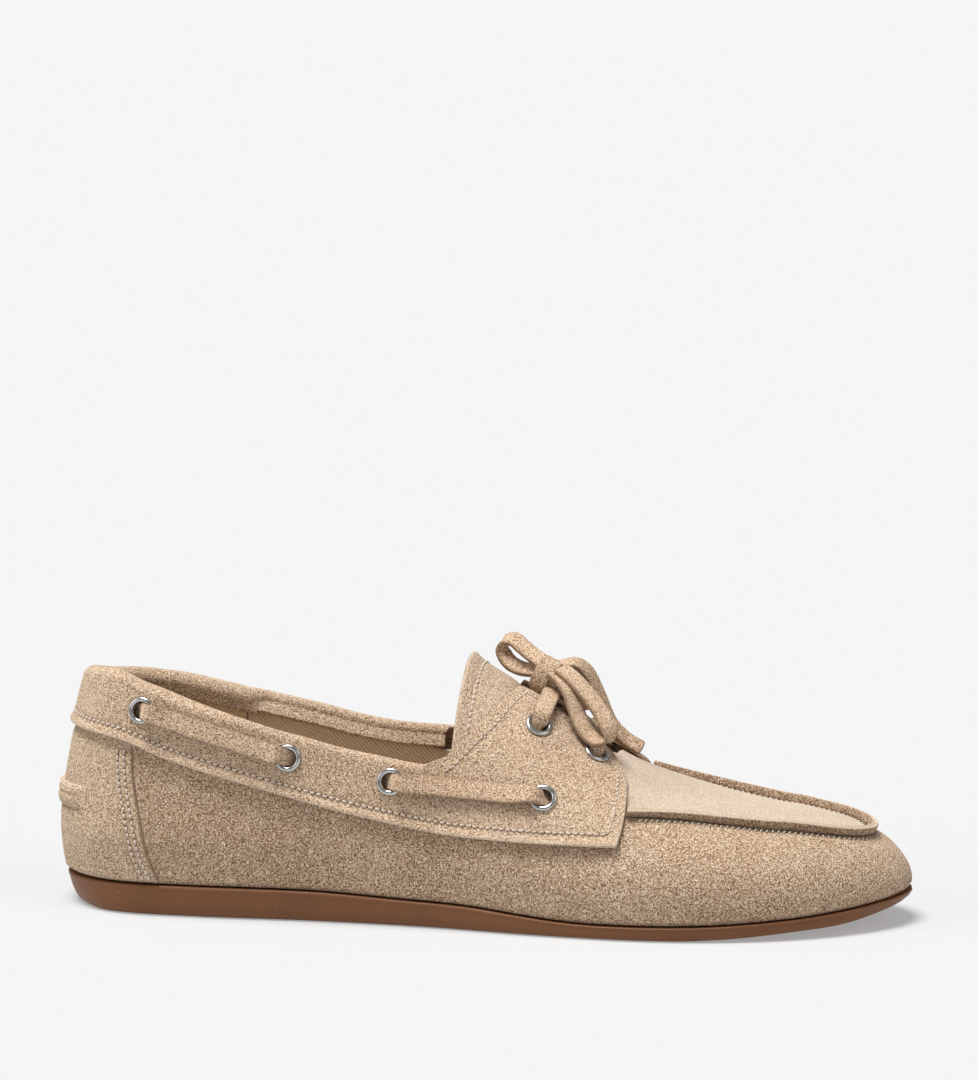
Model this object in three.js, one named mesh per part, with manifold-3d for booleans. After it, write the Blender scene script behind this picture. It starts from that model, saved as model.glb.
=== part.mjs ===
// Moccasin: a suede boat shoe for the right foot, built in the layers a shoemaker would cut.
// Millimetres. X runs heel to toe, Y to the inner (medial) side, Z up from the ground.
import * as THREE from "three";
import Module from "manifold-3d";

const wasm = await Module();
wasm.setup();

// ---- driving dimensions --------------------------------------------------------------------
const LENGTH = 257; // of the last, heel to toe
const WIDTH = 1; // times the drawn width
const HEIGHT = 1; // times the drawn height
const SUEDE = 1.3; // upper leather
const GAP = 0.3; // between pieces that touch
const BAND_IN = 0.3; // inner face of the collar band, over the vamp
const STIFF = [-2.9, -1.7]; // heel counter and toe puff, between suede and lining
const LINING = [-4.0, -3.3];
const COLLAR_R = 3.6; // padded roll at the heel
const ROLL_R = 2.4; // unpadded roll along the sides
const CHANNEL = 2; // how far the vamp runs up under the collar band
const MARGIN = 8; // lasting margin turned in under the board
const EYELET_R = 4.1; // flange
const HOLE_R = 2.6; // through the eyelet
const BARREL_R = 2.9;
const LACE_W = 5.4; // rawhide thong
const LACE_T = 1.6;
const LACE_W_HOLE = 3.0; // pinched where it goes through an eyelet
const LACE_W_IN = 4.2; // inside the collar
const SOLE_OUT = 0.8; // welt of the sole past the feather line
const BOARD = 1.6;
const FOOTBED = 3.0;
const FOAM_R = 1.3;
const RIDGE_W = 2.0; // moccasin seam
const RIDGE_H = 2.4;
const SADDLE_X = 175; // front edge of the saddle flaps
const LACING_GAP = 8; // half the gap between the two flaps
const TONGUE_T = 1.4;

// ---- the last: one smooth surface that every upper piece is laid on -------------------------
// Hermite curve through (knots, values), numbers or arrays.
function curve(knots, values) {
  const vec = Array.isArray(values[0]);
  const val = values.map((v) => (vec ? v : [v]));
  const n = knots.length, dim = val[0].length;
  const tan = val.map((_, i) => {
    const a = Math.max(0, i - 1), b = Math.min(n - 1, i + 1);
    return val[0].map((__, k) => (val[b][k] - val[a][k]) / (knots[b] - knots[a]));
  });
  return (t) => {
    const x = Math.min(Math.max(t, knots[0]), knots[n - 1]);
    let i = 0;
    while (i < n - 2 && x > knots[i + 1]) i++;
    const h = knots[i + 1] - knots[i], s = (x - knots[i]) / h;
    const out = [];
    for (let k = 0; k < dim; k++)
      out.push(
        (1 + 2 * s) * (1 - s) ** 2 * val[i][k] + s * (1 - s) ** 2 * h * tan[i][k] +
        s * s * (3 - 2 * s) * val[i + 1][k] - s * s * (1 - s) * h * tan[i + 1][k]);
    return vec ? out : out[0];
  };
}
const table = (pairs) => curve(pairs.map((p) => p[0]), pairs.map((p) => p[1]));
const smoothstep = (a, b, x) => {
  const s = Math.min(Math.max((x - a) / (b - a), 0), 1);
  return s * s * (3 - 2 * s);
};
const lerp = (a, b, t) => a + (b - a) * t;

// Feather line, where the upper meets the sole: x, y on each side, heel to toe.
const FX = LENGTH / 257;
const LATERAL = [[0.5, 0], [5.5, -15.5], [20, -26.5], [45, -30], [80, -30.5], [115, -33.5], [150, -40],
  [180, -43], [205, -40.5], [226, -33], [243, -21], [254, -7.5], [257.5, 4]];
const MEDIAL = [[0.5, 0], [5.5, 14.5], [20, 24.5], [45, 27.5], [70, 26.5], [100, 26], [130, 29.5],
  [160, 37], [185, 41], [210, 40], [232, 34], [247, 25], [255.5, 14], [257.5, 4]];
function walked(points) {
  const out = [0];
  for (let i = 1; i < points.length; i++)
    out.push(out[i - 1] + Math.hypot(points[i][0] - points[i - 1][0], points[i][1] - points[i - 1][1]));
  return out.map((d) => d / out[out.length - 1]);
}
const latK = walked(LATERAL).map((k) => k / 2);
const medK = walked(MEDIAL).map((k) => 1 - k / 2);
const loopK = [...latK, ...medK.slice(0, -1).reverse()];
const loopP = [...LATERAL, ...MEDIAL.slice(0, -1).reverse()];
const N = loopK.length;
const outlineK = [loopK[N - 3] - 1, loopK[N - 2] - 1, ...loopK, 1 + loopK[1], 1 + loopK[2]];
const outlineP = [loopP[N - 3], loopP[N - 2], ...loopP, loopP[1], loopP[2]];
const outlineCurve = curve(outlineK, outlineP);
const wrap = (u) => u - Math.floor(u);
const outline = (u) => {
  const [x, y] = outlineCurve(wrap(u));
  return [x, y];
};
// Heights along the shoe: feather line, crown of the last, fullness of the section.
const feather = table([[0, 9.5], [80, 9.5], [108, 8.3], [130, 7.5], [146, 6], [157, 5], [170, 4.5], [200, 4.8],
  [226, 6.2], [240, 7.4], [250, 8.6], [258, 9.8]]);
const crown = table([[0, 108], [15, 128], [35, 146], [73, 141], [112, 97], [126, 79], [137, 71.5], [147, 66],
  [157, 58.5], [168, 50.5], [182, 43.5], [199, 38], [212, 35], [222, 33.6], [260, 33.2]]);
const fullness = table([[0, 2], [112, 2], [147, 2.05], [176, 2.25], [199, 2.4], [222, 2.2], [240, 1.95], [258, 1.75]]);
const spineY = table([[32, -0.5], [90, -2], [140, -2], [180, -0.5], [222, 3.5]]);
const SPINE = [32, 222];
const BULGE = 2.6;
const riseTable = table([[0, 0], [190, 0], [197, 0.1], [211, 0.8], [226, 2], [240, 2.9], [250, 4.3], [258, 6.2]]);
const soleRise = (x) => (x < 190 ? 0 : Math.max(riseTable(x), 0)); // flat tread, then toe spring

function section(u) {
  const o = outline(u);
  const x = Math.min(Math.max(o[0], SPINE[0]), SPINE[1]);
  const sp = [x, spineY(x)];
  const w = Math.hypot(o[0] - sp[0], o[1] - sp[1]);
  return { o, sp, w, d: [(o[0] - sp[0]) / w, (o[1] - sp[1]) / w],
    zf: feather(o[0]), zc: crown(o[0]), n: fullness(o[0]) };
}
function belly(up, r) {
  return BULGE * Math.min(up / 14, 1) ** 0.6 * Math.min(Math.max(1 - Math.max(up - 18, 0) / 45, 0), 1) *
    Math.min(1, r * 1.5);
}
// Point of the last: u round the feather line (0 heel, 0.5 toe, lateral side first), v up to the crown.
function last(u, v) {
  const s = section(u);
  const a = (Math.min(Math.max(v, 0), 1) * Math.PI) / 2;
  const r = Math.max(Math.cos(a), 1e-9) ** (2 / s.n), h = Math.max(Math.sin(a), 1e-9) ** (2 / s.n);
  const up = (s.zc - s.zf) * h, k = s.w * r + belly(up, r);
  return new THREE.Vector3((s.sp[0] + s.d[0] * k) * FX, (s.sp[1] + s.d[1] * k) * WIDTH, (s.zf + up) * HEIGHT);
}
const vOfZ = (u, z) => {
  const s = section(u);
  const h = Math.min(Math.max((z - s.zf) / (s.zc - s.zf), 0), 1);
  return Math.asin(h ** (s.n / 2)) / (Math.PI / 2);
};
const outlineTable = Array.from({ length: 2001 }, (_, i) => [i / 2000, ...outline(i / 2000)]);
function uOfX(x, side) { // side -1 lateral, +1 medial; drawn x
  let lo = side < 0 ? 0 : 1, hi = 0.5;
  for (let i = 0; i < 40; i++) {
    const mid = (lo + hi) / 2;
    if (outline(mid)[0] < x) lo = mid; else hi = mid;
  }
  return (lo + hi) / 2;
}
// u, v of the point of the last over plan position x, y (crown pieces).
function uvAt(x, y) {
  let u;
  if (x <= SPINE[1]) u = uOfX(x, y < spineY(x) ? -1 : 1);
  else {
    const want = Math.atan2(y - spineY(SPINE[1]), x - SPINE[1]);
    let lo = uOfX(SPINE[1], -1), hi = uOfX(SPINE[1], 1);
    for (let i = 0; i < 40; i++) {
      const mid = (lo + hi) / 2, o = outline(mid);
      if (Math.atan2(o[1] - spineY(SPINE[1]), o[0] - SPINE[1]) < want) lo = mid; else hi = mid;
    }
    u = (lo + hi) / 2;
  }
  const s = section(u);
  const dist = Math.hypot(x - s.sp[0], y - s.sp[1]);
  let r = dist / s.w;
  for (let i = 0; i < 6; i++) {
    const up = (s.zc - s.zf) * Math.max(1 - Math.min(r, 1) ** s.n, 0) ** (1 / s.n);
    r = Math.max(dist - belly(up, r), 0) / s.w;
  }
  return [u, Math.acos(Math.min(r, 1) ** (s.n / 2)) / (Math.PI / 2)];
}
// u, v of the point of the last at height z and drawn length x, on one side.
function uvAtXZ(x, z, side) {
  let lo = side < 0 ? 0 : 1, hi = 0.5;
  for (let i = 0; i < 40; i++) {
    const mid = (lo + hi) / 2;
    if (last(mid, vOfZ(mid, z)).x / FX < x) lo = mid; else hi = mid;
  }
  return [(lo + hi) / 2, vOfZ((lo + hi) / 2, z)];
}
// Frame of the last: point, outward normal, and the direction up the surface.
function frameAt(u, v) {
  const e = 0.002, vv = Math.min(Math.max(v, e), 0.985);
  const p = last(u, v);
  const du = last(u + e, vv).sub(last(u - e, vv)).normalize();
  const dv = last(u, vv + e).sub(last(u, vv - e)).normalize();
  const n = du.clone().cross(dv).normalize();
  if (n.lengthSq() < 0.5) n.set(0, 0, 1);
  return { p, n, up: n.clone().cross(du).normalize() };
}
function layer(u, v, off, rise = 0) {
  const f = frameAt(u, v);
  return f.p.addScaledVector(f.n, off).addScaledVector(f.up, rise);
}
function crownPoint(x, y, off) {
  const e = 0.8;
  const at = (a, b) => last(...uvAt(a, b)).z;
  const n = new THREE.Vector3((at(x - e, y) - at(x + e, y)) / (2 * e * FX),
    (at(x, y - e) - at(x, y + e)) / (2 * e * WIDTH), 1).normalize();
  const p = last(...uvAt(x, y));
  p.x = x * FX; p.y = y * WIDTH;
  return p.addScaledVector(n, off);
}

// ---- closed bodies ------------------------------------------------------------------------
function bodyFrom(vertices, triangles) {
  const key = new Map(), index = [], pos = [];
  for (const p of vertices) {
    const k = `${Math.round(p.x * 500)},${Math.round(p.y * 500)},${Math.round(p.z * 500)}`;
    if (!key.has(k)) { key.set(k, pos.length / 3); pos.push(p.x, p.y, p.z); }
    index.push(key.get(k));
  }
  const tri = [];
  let volume = 0;
  for (const t of triangles) {
    const [a, b, c] = t.map((i) => index[i]);
    if (a === b || b === c || a === c) continue;
    tri.push(a, b, c);
    const [ax, ay, az] = pos.slice(3 * a, 3 * a + 3), [bx, by, bz] = pos.slice(3 * b, 3 * b + 3);
    const [cx, cy, cz] = pos.slice(3 * c, 3 * c + 3);
    volume += ax * (by * cz - bz * cy) + ay * (bz * cx - bx * cz) + az * (bx * cy - by * cx);
  }
  if (volume < 0) for (let i = 0; i < tri.length; i += 3) [tri[i + 1], tri[i + 2]] = [tri[i + 2], tri[i + 1]];
  const g = new THREE.BufferGeometry();
  g.setAttribute("position", new THREE.Float32BufferAttribute(pos, 3));
  g.setIndex(tri);
  return g;
}
// Two facing grids joined round their rim. face(k, i, j): k 0 outer, 1 inner.
function slab(ni, nj, face, closed = false) {
  const rows = closed ? ni : ni + 1, V = [], T = [];
  for (let k = 0; k < 2; k++)
    for (let i = 0; i < rows; i++) for (let j = 0; j <= nj; j++) V.push(face(k, i / ni, j / nj, i, j));
  const id = (k, i, j) => k * rows * (nj + 1) + (i % rows) * (nj + 1) + j;
  const quad = (a, b, c, d) => T.push([a, b, c], [a, c, d]);
  for (let i = 0; i < ni; i++)
    for (let j = 0; j < nj; j++) {
      quad(id(0, i, j), id(0, i + 1, j), id(0, i + 1, j + 1), id(0, i, j + 1));
      quad(id(1, i, j), id(1, i, j + 1), id(1, i + 1, j + 1), id(1, i + 1, j));
    }
  for (let i = 0; i < ni; i++) {
    quad(id(0, i, 0), id(1, i, 0), id(1, i + 1, 0), id(0, i + 1, 0));
    quad(id(0, i, nj), id(0, i + 1, nj), id(1, i + 1, nj), id(1, i, nj));
  }
  if (!closed)
    for (let j = 0; j < nj; j++) {
      quad(id(0, 0, j), id(0, 0, j + 1), id(1, 0, j + 1), id(1, 0, j));
      quad(id(0, ni, j), id(1, ni, j), id(1, ni, j + 1), id(0, ni, j + 1));
    }
  return bodyFrom(V, T);
}
// A closed section swept along points; side[i] is the width direction.
function sweep(points, side, halfW, halfT, count = 8) {
  const V = [], T = [], n = points.length;
  for (let i = 0; i < n; i++) {
    const t = points[Math.min(i + 1, n - 1)].clone().sub(points[Math.max(i - 1, 0)]).normalize();
    const b = side[i].clone().addScaledVector(t, -side[i].dot(t)).normalize();
    const h = t.clone().cross(b);
    for (let k = 0; k < count; k++) {
      const a = (2 * Math.PI * (k + 0.5)) / count, c = Math.cos(a), s = Math.sin(a);
      V.push(points[i].clone().addScaledVector(b, halfW[i] * Math.sign(c) * Math.abs(c) ** 0.5)
        .addScaledVector(h, halfT[i] * Math.sign(s) * Math.abs(s) ** 0.5));
    }
  }
  const id = (i, k) => i * count + (k % count);
  for (let i = 0; i < n - 1; i++)
    for (let k = 0; k < count; k++)
      T.push([id(i, k), id(i + 1, k), id(i + 1, k + 1)], [id(i, k), id(i + 1, k + 1), id(i, k + 1)]);
  for (let k = 1; k < count - 1; k++) {
    T.push([id(0, 0), id(0, k), id(0, k + 1)]);
    T.push([id(n - 1, 0), id(n - 1, k + 1), id(n - 1, k)]);
  }
  return bodyFrom(V, T);
}
// Flat plate inside an outline: rows from lateral to medial, rims from top to bottom.
function plate(cols, rimPoint, top, bottom) {
  const V = [], T = [];
  const u = [0, ...COARSE_X.map((x) => uOfX(x, -1)), 0.5], m2 = [1, ...COARSE_X.map((x) => uOfX(x, 1)), 0.5];
  const rows = u.length - 1;
  const grid = (z, inset) => {
    const base = V.length;
    for (let i = 0; i <= rows; i++) {
      const a = rimPoint(u[i], inset), b = rimPoint(wrap(m2[i]), inset);
      for (let j = 0; j <= cols; j++) {
        const x = lerp(a[0], b[0], j / cols), y = lerp(a[1], b[1], j / cols);
        const edge = i === 0 || i === rows ? 1 : Math.abs((2 * j) / cols - 1);
        V.push(new THREE.Vector3(x * FX, y * WIDTH, z(x, edge) * HEIGHT));
      }
    }
    return (i, j) => base + i * (cols + 1) + j;
  };
  const t = grid(top.z, top.inset), m = grid((x) => bottom.z(x, 0) + bottom.bevel, bottom.inset);
  const b = grid(bottom.z, bottom.inset + bottom.bevel);
  const quad = (a, c, d, e) => T.push([a, c, d], [a, d, e]);
  for (let i = 0; i < rows; i++) {
    for (let j = 0; j < cols; j++) {
      quad(t(i, j), t(i + 1, j), t(i + 1, j + 1), t(i, j + 1));
      quad(b(i, j), b(i, j + 1), b(i + 1, j + 1), b(i + 1, j));
    }
    for (const [p, q] of [[t, m], [m, b]]) {
      quad(p(i, 0), q(i, 0), q(i + 1, 0), p(i + 1, 0));
      quad(p(i, cols), p(i + 1, cols), q(i + 1, cols), q(i, cols));
    }
  }
  return bodyFrom(V, T);
}
function toManifold(g) {
  return new wasm.Manifold(new wasm.Mesh({ numProp: 3,
    vertProperties: new Float32Array(g.getAttribute("position").array), triVerts: new Uint32Array(g.index.array) }));
}
function fromManifold(m) {
  const mesh = m.getMesh(), g = new THREE.BufferGeometry(), pos = [];
  for (let i = 0; i < mesh.numVert; i++)
    pos.push(...mesh.vertProperties.slice(i * mesh.numProp, i * mesh.numProp + 3));
  g.setAttribute("position", new THREE.Float32BufferAttribute(pos, 3));
  g.setIndex(Array.from(mesh.triVerts));
  return g;
}

const group = new THREE.Group();
group.name = "moccasin";
const TAN = 0xcdb294, TAN_DARK = 0xb9997a, TWILL = 0xc9a98a, RUBBER = 0xa9794f, STEEL = 0xc9ccd0, BOARD_C = 0xb9a383;
function add(name, geometry, color, metal = 0, rough = 0.9) {
  const g = geometry.index ? geometry.toNonIndexed() : geometry;
  g.computeVertexNormals();
  const mesh = new THREE.Mesh(g, new THREE.MeshStandardMaterial({ color, metalness: metal, roughness: rough }));
  mesh.name = name;
  group.add(mesh);
}

// Shared stations along the last, so that neighbouring layers keep parallel facets.
const STATION_X = [1.4, 3.8, 8.5, 15, 22.5, 32, 43, 54, 67, 81, 95, 106, 112.5, 116, 119, 123, 127, 131, 134.5, 137.5,
  140, 143, 148, 153.5, 159, 164.5, 168, 171.5, SADDLE_X, 180, 190, 200, 210, 219, 227, 234, 240, 245.5, 250, 253.5, 256];
const COARSE_X = [1.4, 3.8, 8.5, 15, 22.5, 32, 43, 54, 67, 81, 95, 106, 119, 134.5, 148, 164.5, 180, 190, 200, 210, 219, 227,
  234, 240, 245.5, 250, 253.5, 256];
const SIDE_U = (list) => [0, ...list.map((x) => uOfX(x, -1)), 0.5, ...list.map((x) => uOfX(x, 1)).reverse()];
const FINE = SIDE_U(STATION_X), COARSE = SIDE_U(COARSE_X);
function stations(w0, w1, list = FINE) { // w or u, from w0 to w1
  const all = [...list.map((u) => u - 1), ...list, ...list.map((u) => u + 1)];
  return [w0, ...all.filter((w) => w > w0 + 0.002 && w < w1 - 0.002), w1];
}

// ---- edge lines of the upper --------------------------------------------------------------
// Heel-side pieces run on w: negative round the medial side, positive round the lateral side.
const xOf = (w) => outline(w)[0];
const collarLow = table([[0, 55.8], [6, 55.3], [23, 53.4], [39, 47.9], [73, 38.9], [94, 34.1], [121, 29.5],
  [137, 28.4], [156, 27.7], [176, 27.1], [200, 27]]);
// Top line, height against length on each side.
const TOP_LATERAL = [[0, 72], [8, 74], [20, 74.3], [32, 70.3], [41, 67], [49, 64.2], [60, 60.9], [70, 58],
  [78, 56.2], [90, 53.4], [103, 51.2], [110, 50], [118, 49.2]];
const TOP_MEDIAL = [[0, 72], [8, 70], [20, 68.6], [32, 66.5], [42, 64.2], [54, 61.5], [73, 57.7], [85, 55],
  [97, 53.2], [110, 52.5], [118, 52.3]];
const topKnots = [...TOP_MEDIAL.slice(1).reverse().map(([x, z]) => [-(1 - uOfX(x, 1)), z]),
  ...TOP_LATERAL.map(([x, z]) => [x ? uOfX(x, -1) : 0, z])];
const topLine = table(topKnots);
// Rear edge of the flaps (the throat), v against length, and the edge along the lacing gap.
const THROAT_X = 117.5;
const throat = table([[117.5, 0.335], [119.5, 0.355], [122.6, 0.392], [124.3, 0.428], [127.2, 0.481],
  [130.3, 0.542], [133.9, 0.622], [136.8, 0.725], [139.1, 0.83], [141, 0.9]]);
function flapTop(w) {
  const x = xOf(w), side = w < 0 ? 1 : -1, u = wrap(w);
  const s = section(u), y = side * LACING_GAP;
  const across = Math.abs(y - s.sp[1]);
  let r = across / s.w;
  for (let i = 0; i < 5; i++) {
    const up = (s.zc - s.zf) * Math.max(1 - r ** s.n, 0) ** (1 / s.n);
    r = Math.max(across - belly(up, r), 0.5) / s.w;
  }
  const gapEdge = Math.acos(Math.min(r, 1) ** (s.n / 2)) / (Math.PI / 2);
  const rear = throat(x);
  const corner = 0.2 * Math.max((x - 163) / (SADDLE_X - 163), 0) ** 2.6;
  return Math.min(x < 141 ? rear : 1, gapEdge) - corner;
}
const wOfX = (x, side) => (side < 0 ? uOfX(x, -1) : uOfX(x, 1) - 1);
const rollRadius = (w) => {
  const x = xOf(w);
  return lerp(COLLAR_R, ROLL_R, smoothstep(50, 58, x));
};
const rollTurn = (w) => Math.max(1 - smoothstep(113, 118.5, xOf(w)), 0.04); // quarter turns the band makes
function bandTop(w) { // v where the band's flat part ends
  const x = xOf(w), u = wrap(w);
  if (x >= THROAT_X) return flapTop(w);
  const z = topLine(w) - rollRadius(w) * Math.sin((rollTurn(w) * Math.PI) / 2);
  return vOfZ(u, z);
}

// ---- collar band with its two saddle flaps, folded over the top line -------------------------
const bandW = stations(wOfX(SADDLE_X, 1), wOfX(SADDLE_X, -1));
const BAND_ROWS = 5, BAND_ARC = 3;
const lean = (t) => 1.3 * Math.sin(Math.PI * Math.min(t, 1)); // the flap's front edge bows forward
function bandFace(k, si, sj, i, j) {
  const w = bandW[i], x = xOf(w), u = wrap(w), R = rollRadius(w), c = BAND_IN + SUEDE - R;
  const v0 = vOfZ(u, collarLow(x)), v1 = bandTop(w), r = k === 0 ? R : R - SUEDE;
  if (j <= BAND_ROWS) {
    const t = j / BAND_ROWS;
    const shifted = x > 150 ? uOfX(x + lean(t) * smoothstep(150, SADDLE_X, x), w < 0 ? 1 : -1) : u;
    return layer(shifted, lerp(v0, v1, t), c + r);
  }
  const a = ((j - BAND_ROWS) / BAND_ARC) * rollTurn(w) * (Math.PI / 2);
  return layer(u, v1, c + r * Math.cos(a), r * Math.sin(a));
}
const bandRaw = slab(bandW.length - 1, BAND_ROWS + BAND_ARC, bandFace);

// ---- eyelets -----------------------------------------------------------------------------
// Length and height of each hole; A to D carry the collar lace, E and F tie the flaps.
const EYELETS = { a: [29.3, 62.2], b: [74.5, 49.6], c: [106.1, 43.6], d: [152.4, 40], e: [164.6, 50.3], f: [148.1, 58.9] };
const MED_DROP = { a: -3.5, b: 0, c: 1.5, d: 0, e: 0, f: 0 }; // medial holes follow their own top line
const seats = {};
for (const [tag, side] of [["lateral", -1], ["medial", 1]])
  for (const [key, [x, z]] of Object.entries(EYELETS)) {
    const [u, v] = uvAtXZ(x, z + (side > 0 ? MED_DROP[key] : 0), side);
    seats[`${tag}_${key}`] = { u, v, side, ...frameAt(u, v) };
  }
function lathe(profile, segments, seat) {
  const V = [], T = [], n = profile.length;
  const a = seat.up, b = seat.n.clone().cross(a);
  for (let i = 0; i < segments; i++) {
    const t = (2 * Math.PI * i) / segments;
    for (const [r, off] of profile)
      V.push(seat.p.clone().addScaledVector(seat.n, off).addScaledVector(a, r * Math.cos(t)).addScaledVector(b, r * Math.sin(t)));
  }
  const id = (i, k) => (i % segments) * n + (k % n);
  for (let i = 0; i < segments; i++)
    for (let k = 0; k < n; k++)
      T.push([id(i, k), id(i + 1, k), id(i + 1, k + 1)], [id(i, k), id(i + 1, k + 1), id(i, k + 1)]);
  return bodyFrom(V, T);
}
function punch(seat, radius) { // a plug to cut the hole with
  const pts = [seat.p.clone().addScaledVector(seat.n, -1.2), seat.p.clone().addScaledVector(seat.n, 3.2)];
  const V = [], T = [], m = 14, b = seat.n.clone().cross(seat.up);
  for (const p of pts)
    for (let i = 0; i < m; i++)
      V.push(p.clone().addScaledVector(seat.up, radius * Math.cos((2 * Math.PI * i) / m))
        .addScaledVector(b, radius * Math.sin((2 * Math.PI * i) / m)));
  for (let i = 0; i < m; i++) {
    const j = (i + 1) % m;
    T.push([i, j, m + j], [i, m + j, m + i]);
    if (i > 0 && i < m - 1) T.push([0, i + 1, i], [m, m + i, m + i + 1]);
  }
  return bodyFrom(V, T);
}
const top = BAND_IN + SUEDE;
const eyeletProfile = [[HOLE_R, -0.4], [HOLE_R, top], [3.3, top + 1.0],
  [EYELET_R, top + 0.35], [BARREL_R, top + 0.35], [BARREL_R, -0.5], [3.6, -0.5], [3.2, -0.95]];
let band = toManifold(bandRaw);
for (const seat of Object.values(seats)) band = band.subtract(toManifold(punch(seat, BARREL_R + GAP)));
add("collar_band", fromManifold(band), TAN);
for (const [name, seat] of Object.entries(seats)) add(`eyelet_${name}`, lathe(eyeletProfile, 10, seat), STEEL, 1, 0.3);

// ---- collar facings: the inside half of the rolled top line ---------------------------------
const FACING_END = 112.5, FACING_SEAM = 54;
function facing(w0, w1, depth) {
  const arc = 3, leg = 3, open = 0.14, W = stations(w0, w1);
  return slab(W.length - 1, arc + leg, (k, si, sj, i, j) => {
    const w = W[i], u = wrap(w), R = rollRadius(w), c = BAND_IN + SUEDE - R;
    const v1 = bandTop(w), r = k === 0 ? R : R - SUEDE;
    if (j <= arc) {
      const a = Math.PI / 2 + open + ((j / arc) * (Math.PI / 2 - open));
      return layer(u, v1, c + r * Math.cos(a), r * Math.sin(a));
    }
    const t = (j - arc) / leg, deep = COLLAR_R * 2 - BAND_IN - SUEDE;
    const off = -lerp(2 * R - BAND_IN - SUEDE, deep, Math.min((t * (depth - R)) / 2.8, 1)) + (k === 0 ? 0 : SUEDE);
    return layer(u, vOfZ(u, last(u, v1).z / HEIGHT - t * (depth - R)), off);
  });
}
const seamW = (x, side, gap = 0) => wOfX(x, side) + (side < 0 ? 1 : -1) * gap;
add("collar_facing_heel", facing(seamW(FACING_SEAM, 1), seamW(FACING_SEAM, -1), 13), TAN);
add("collar_facing_lateral", facing(seamW(FACING_SEAM + GAP, -1), seamW(FACING_END, -1), 7.2), TAN);
add("collar_facing_medial", facing(seamW(FACING_END, 1), seamW(FACING_SEAM + GAP, 1), 7.2), TAN);
{ // padding inside the roll
  const pts = [], side = [];
  for (const w of stations(seamW(47, 1), seamW(47, -1))) {
    const u = wrap(w);
    const f = frameAt(u, bandTop(w));
    pts.push(f.p.addScaledVector(f.n, BAND_IN + SUEDE - COLLAR_R));
    side.push(f.n);
  }
  const r = pts.map(() => FOAM_R);
  add("collar_foam", sweep(pts, side, r, r, 8), 0xe6dcc8);
}

// ---- moccasin seam, in plan: lateral back end, round the toe, medial back end ------------------
const PLUG_BACK = 170;
const SEAM = [[PLUG_BACK, -34.3], [178, -32], [190, -28.6], [201.7, -25], [213, -21], [224, -17], [233, -12.8],
  [240, -8.3], [244.6, -2.8], [246, 2.5], [243.8, 8.5], [238, 13.8], [229, 18.2], [216, 21.2], [200, 23], [184, 24.6], [PLUG_BACK, 25.6]];
const seam = curve(walked(SEAM), SEAM);
const seamUV = Array.from({ length: 61 }, (_, i) => uvAt(...seam(i / 60)));
const seamV = curve(seamUV.map((p) => p[0]), seamUV.map((p) => p[1]));
function seamNormal(q) { // in plan, outwards
  const a = seam(Math.max(q - 0.004, 0)), b = seam(Math.min(q + 0.004, 1));
  const l = Math.hypot(b[0] - a[0], b[1] - a[1]);
  return [(b[1] - a[1]) / l, -(b[0] - a[0]) / l];
}

// ---- vamp and heel cap --------------------------------------------------------------------
const HEEL_SEAM = [[9.9, 34.6], [18.3, 31], [28.7, 28.8], [41.6, 26.4], [52, 25.9], [60, 25.9]]; // height, length
const heelSeamX = table(HEEL_SEAM);
const edgeU = (v, side, gap) => {
  let u = uOfX(30, side);
  for (let i = 0; i < 4; i++) {
    const z = last(u, v).z / HEIGHT;
    u = uvAtXZ(heelSeamX(z) + gap, Math.max(z, section(u).zf + 0.01), side)[0];
  }
  return u;
};
const wallV = (u, up = 1.8) => vOfZ(u, section(u).zf + up);
function lasted(u, k, m, offs) { // lasting margin, m mm in from the feather line
  const s = section(u);
  const dx = s.o[0] - s.d[0] * m, dy = s.o[1] - s.d[1] * m;
  return new THREE.Vector3(dx * FX, dy * WIDTH, (feather(dx) + (k === 0 ? 0 : SUEDE)) * HEIGHT);
}
const VAMP_ROWS = 6;
function vampTop(u) {
  const x = outline(u)[0];
  const under = vOfZ(u, collarLow(x) + CHANNEL);
  if (x < 160) return under;
  const s = Math.max(seamV(u) - 0.012, 0.02);
  return lerp(under, s, smoothstep(162, 172, x));
}
// Between two seams that run down the heel; stations near a seam follow it.
function upperPiece(start, end, list, vTop, proud) {
  const from = Math.max(start(0.02), start(0.2)), to = Math.min(end(0.02), end(0.2));
  const W = stations(from, to, COARSE);
  const rows = VAMP_ROWS + 2;
  return slab(W.length - 1, rows, (k, si, sj, i, j) => {
    const t = Math.max((j - 2) / VAMP_ROWS, 0);
    const rowV = (q) => {
      const vt = vTop(q), low = vOfZ(q, collarLow(outline(q)[0]));
      if (!proud) return lerp(wallV(q), vt, t);
      return j === rows ? vt : j === rows - 1 ? low - 0.008 : lerp(wallV(q), low - 0.02, Math.max(j - 2, 0) / (VAMP_ROWS - 2));
    };
    let u = wrap(W[i]);
    if (i === 0) u = wrap(start(rowV(wrap(start(rowV(u))))));
    if (i === W.length - 1) u = wrap(end(rowV(wrap(end(rowV(u))))));
    if (j === 0) return lasted(u, k, MARGIN);
    if (j === 1) return lasted(u, k, k === 0 ? 1 : 2.1);
    return layer(u, rowV(u), k === 0 ? (proud && j < rows - 1 ? proud : 0) : -SUEDE);
  });
}
add("vamp", upperPiece((v) => edgeU(v, -1, GAP / 2), (v) => edgeU(v, 1, GAP / 2), COARSE, vampTop, 0), TAN);
add("heel_cap", upperPiece((v) => edgeU(v, 1, -GAP / 2) - 1, (v) => edgeU(v, -1, -GAP / 2), COARSE,
  (u) => vOfZ(u, collarLow(outline(u)[0]) + CHANNEL), 0.5), TAN);

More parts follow.
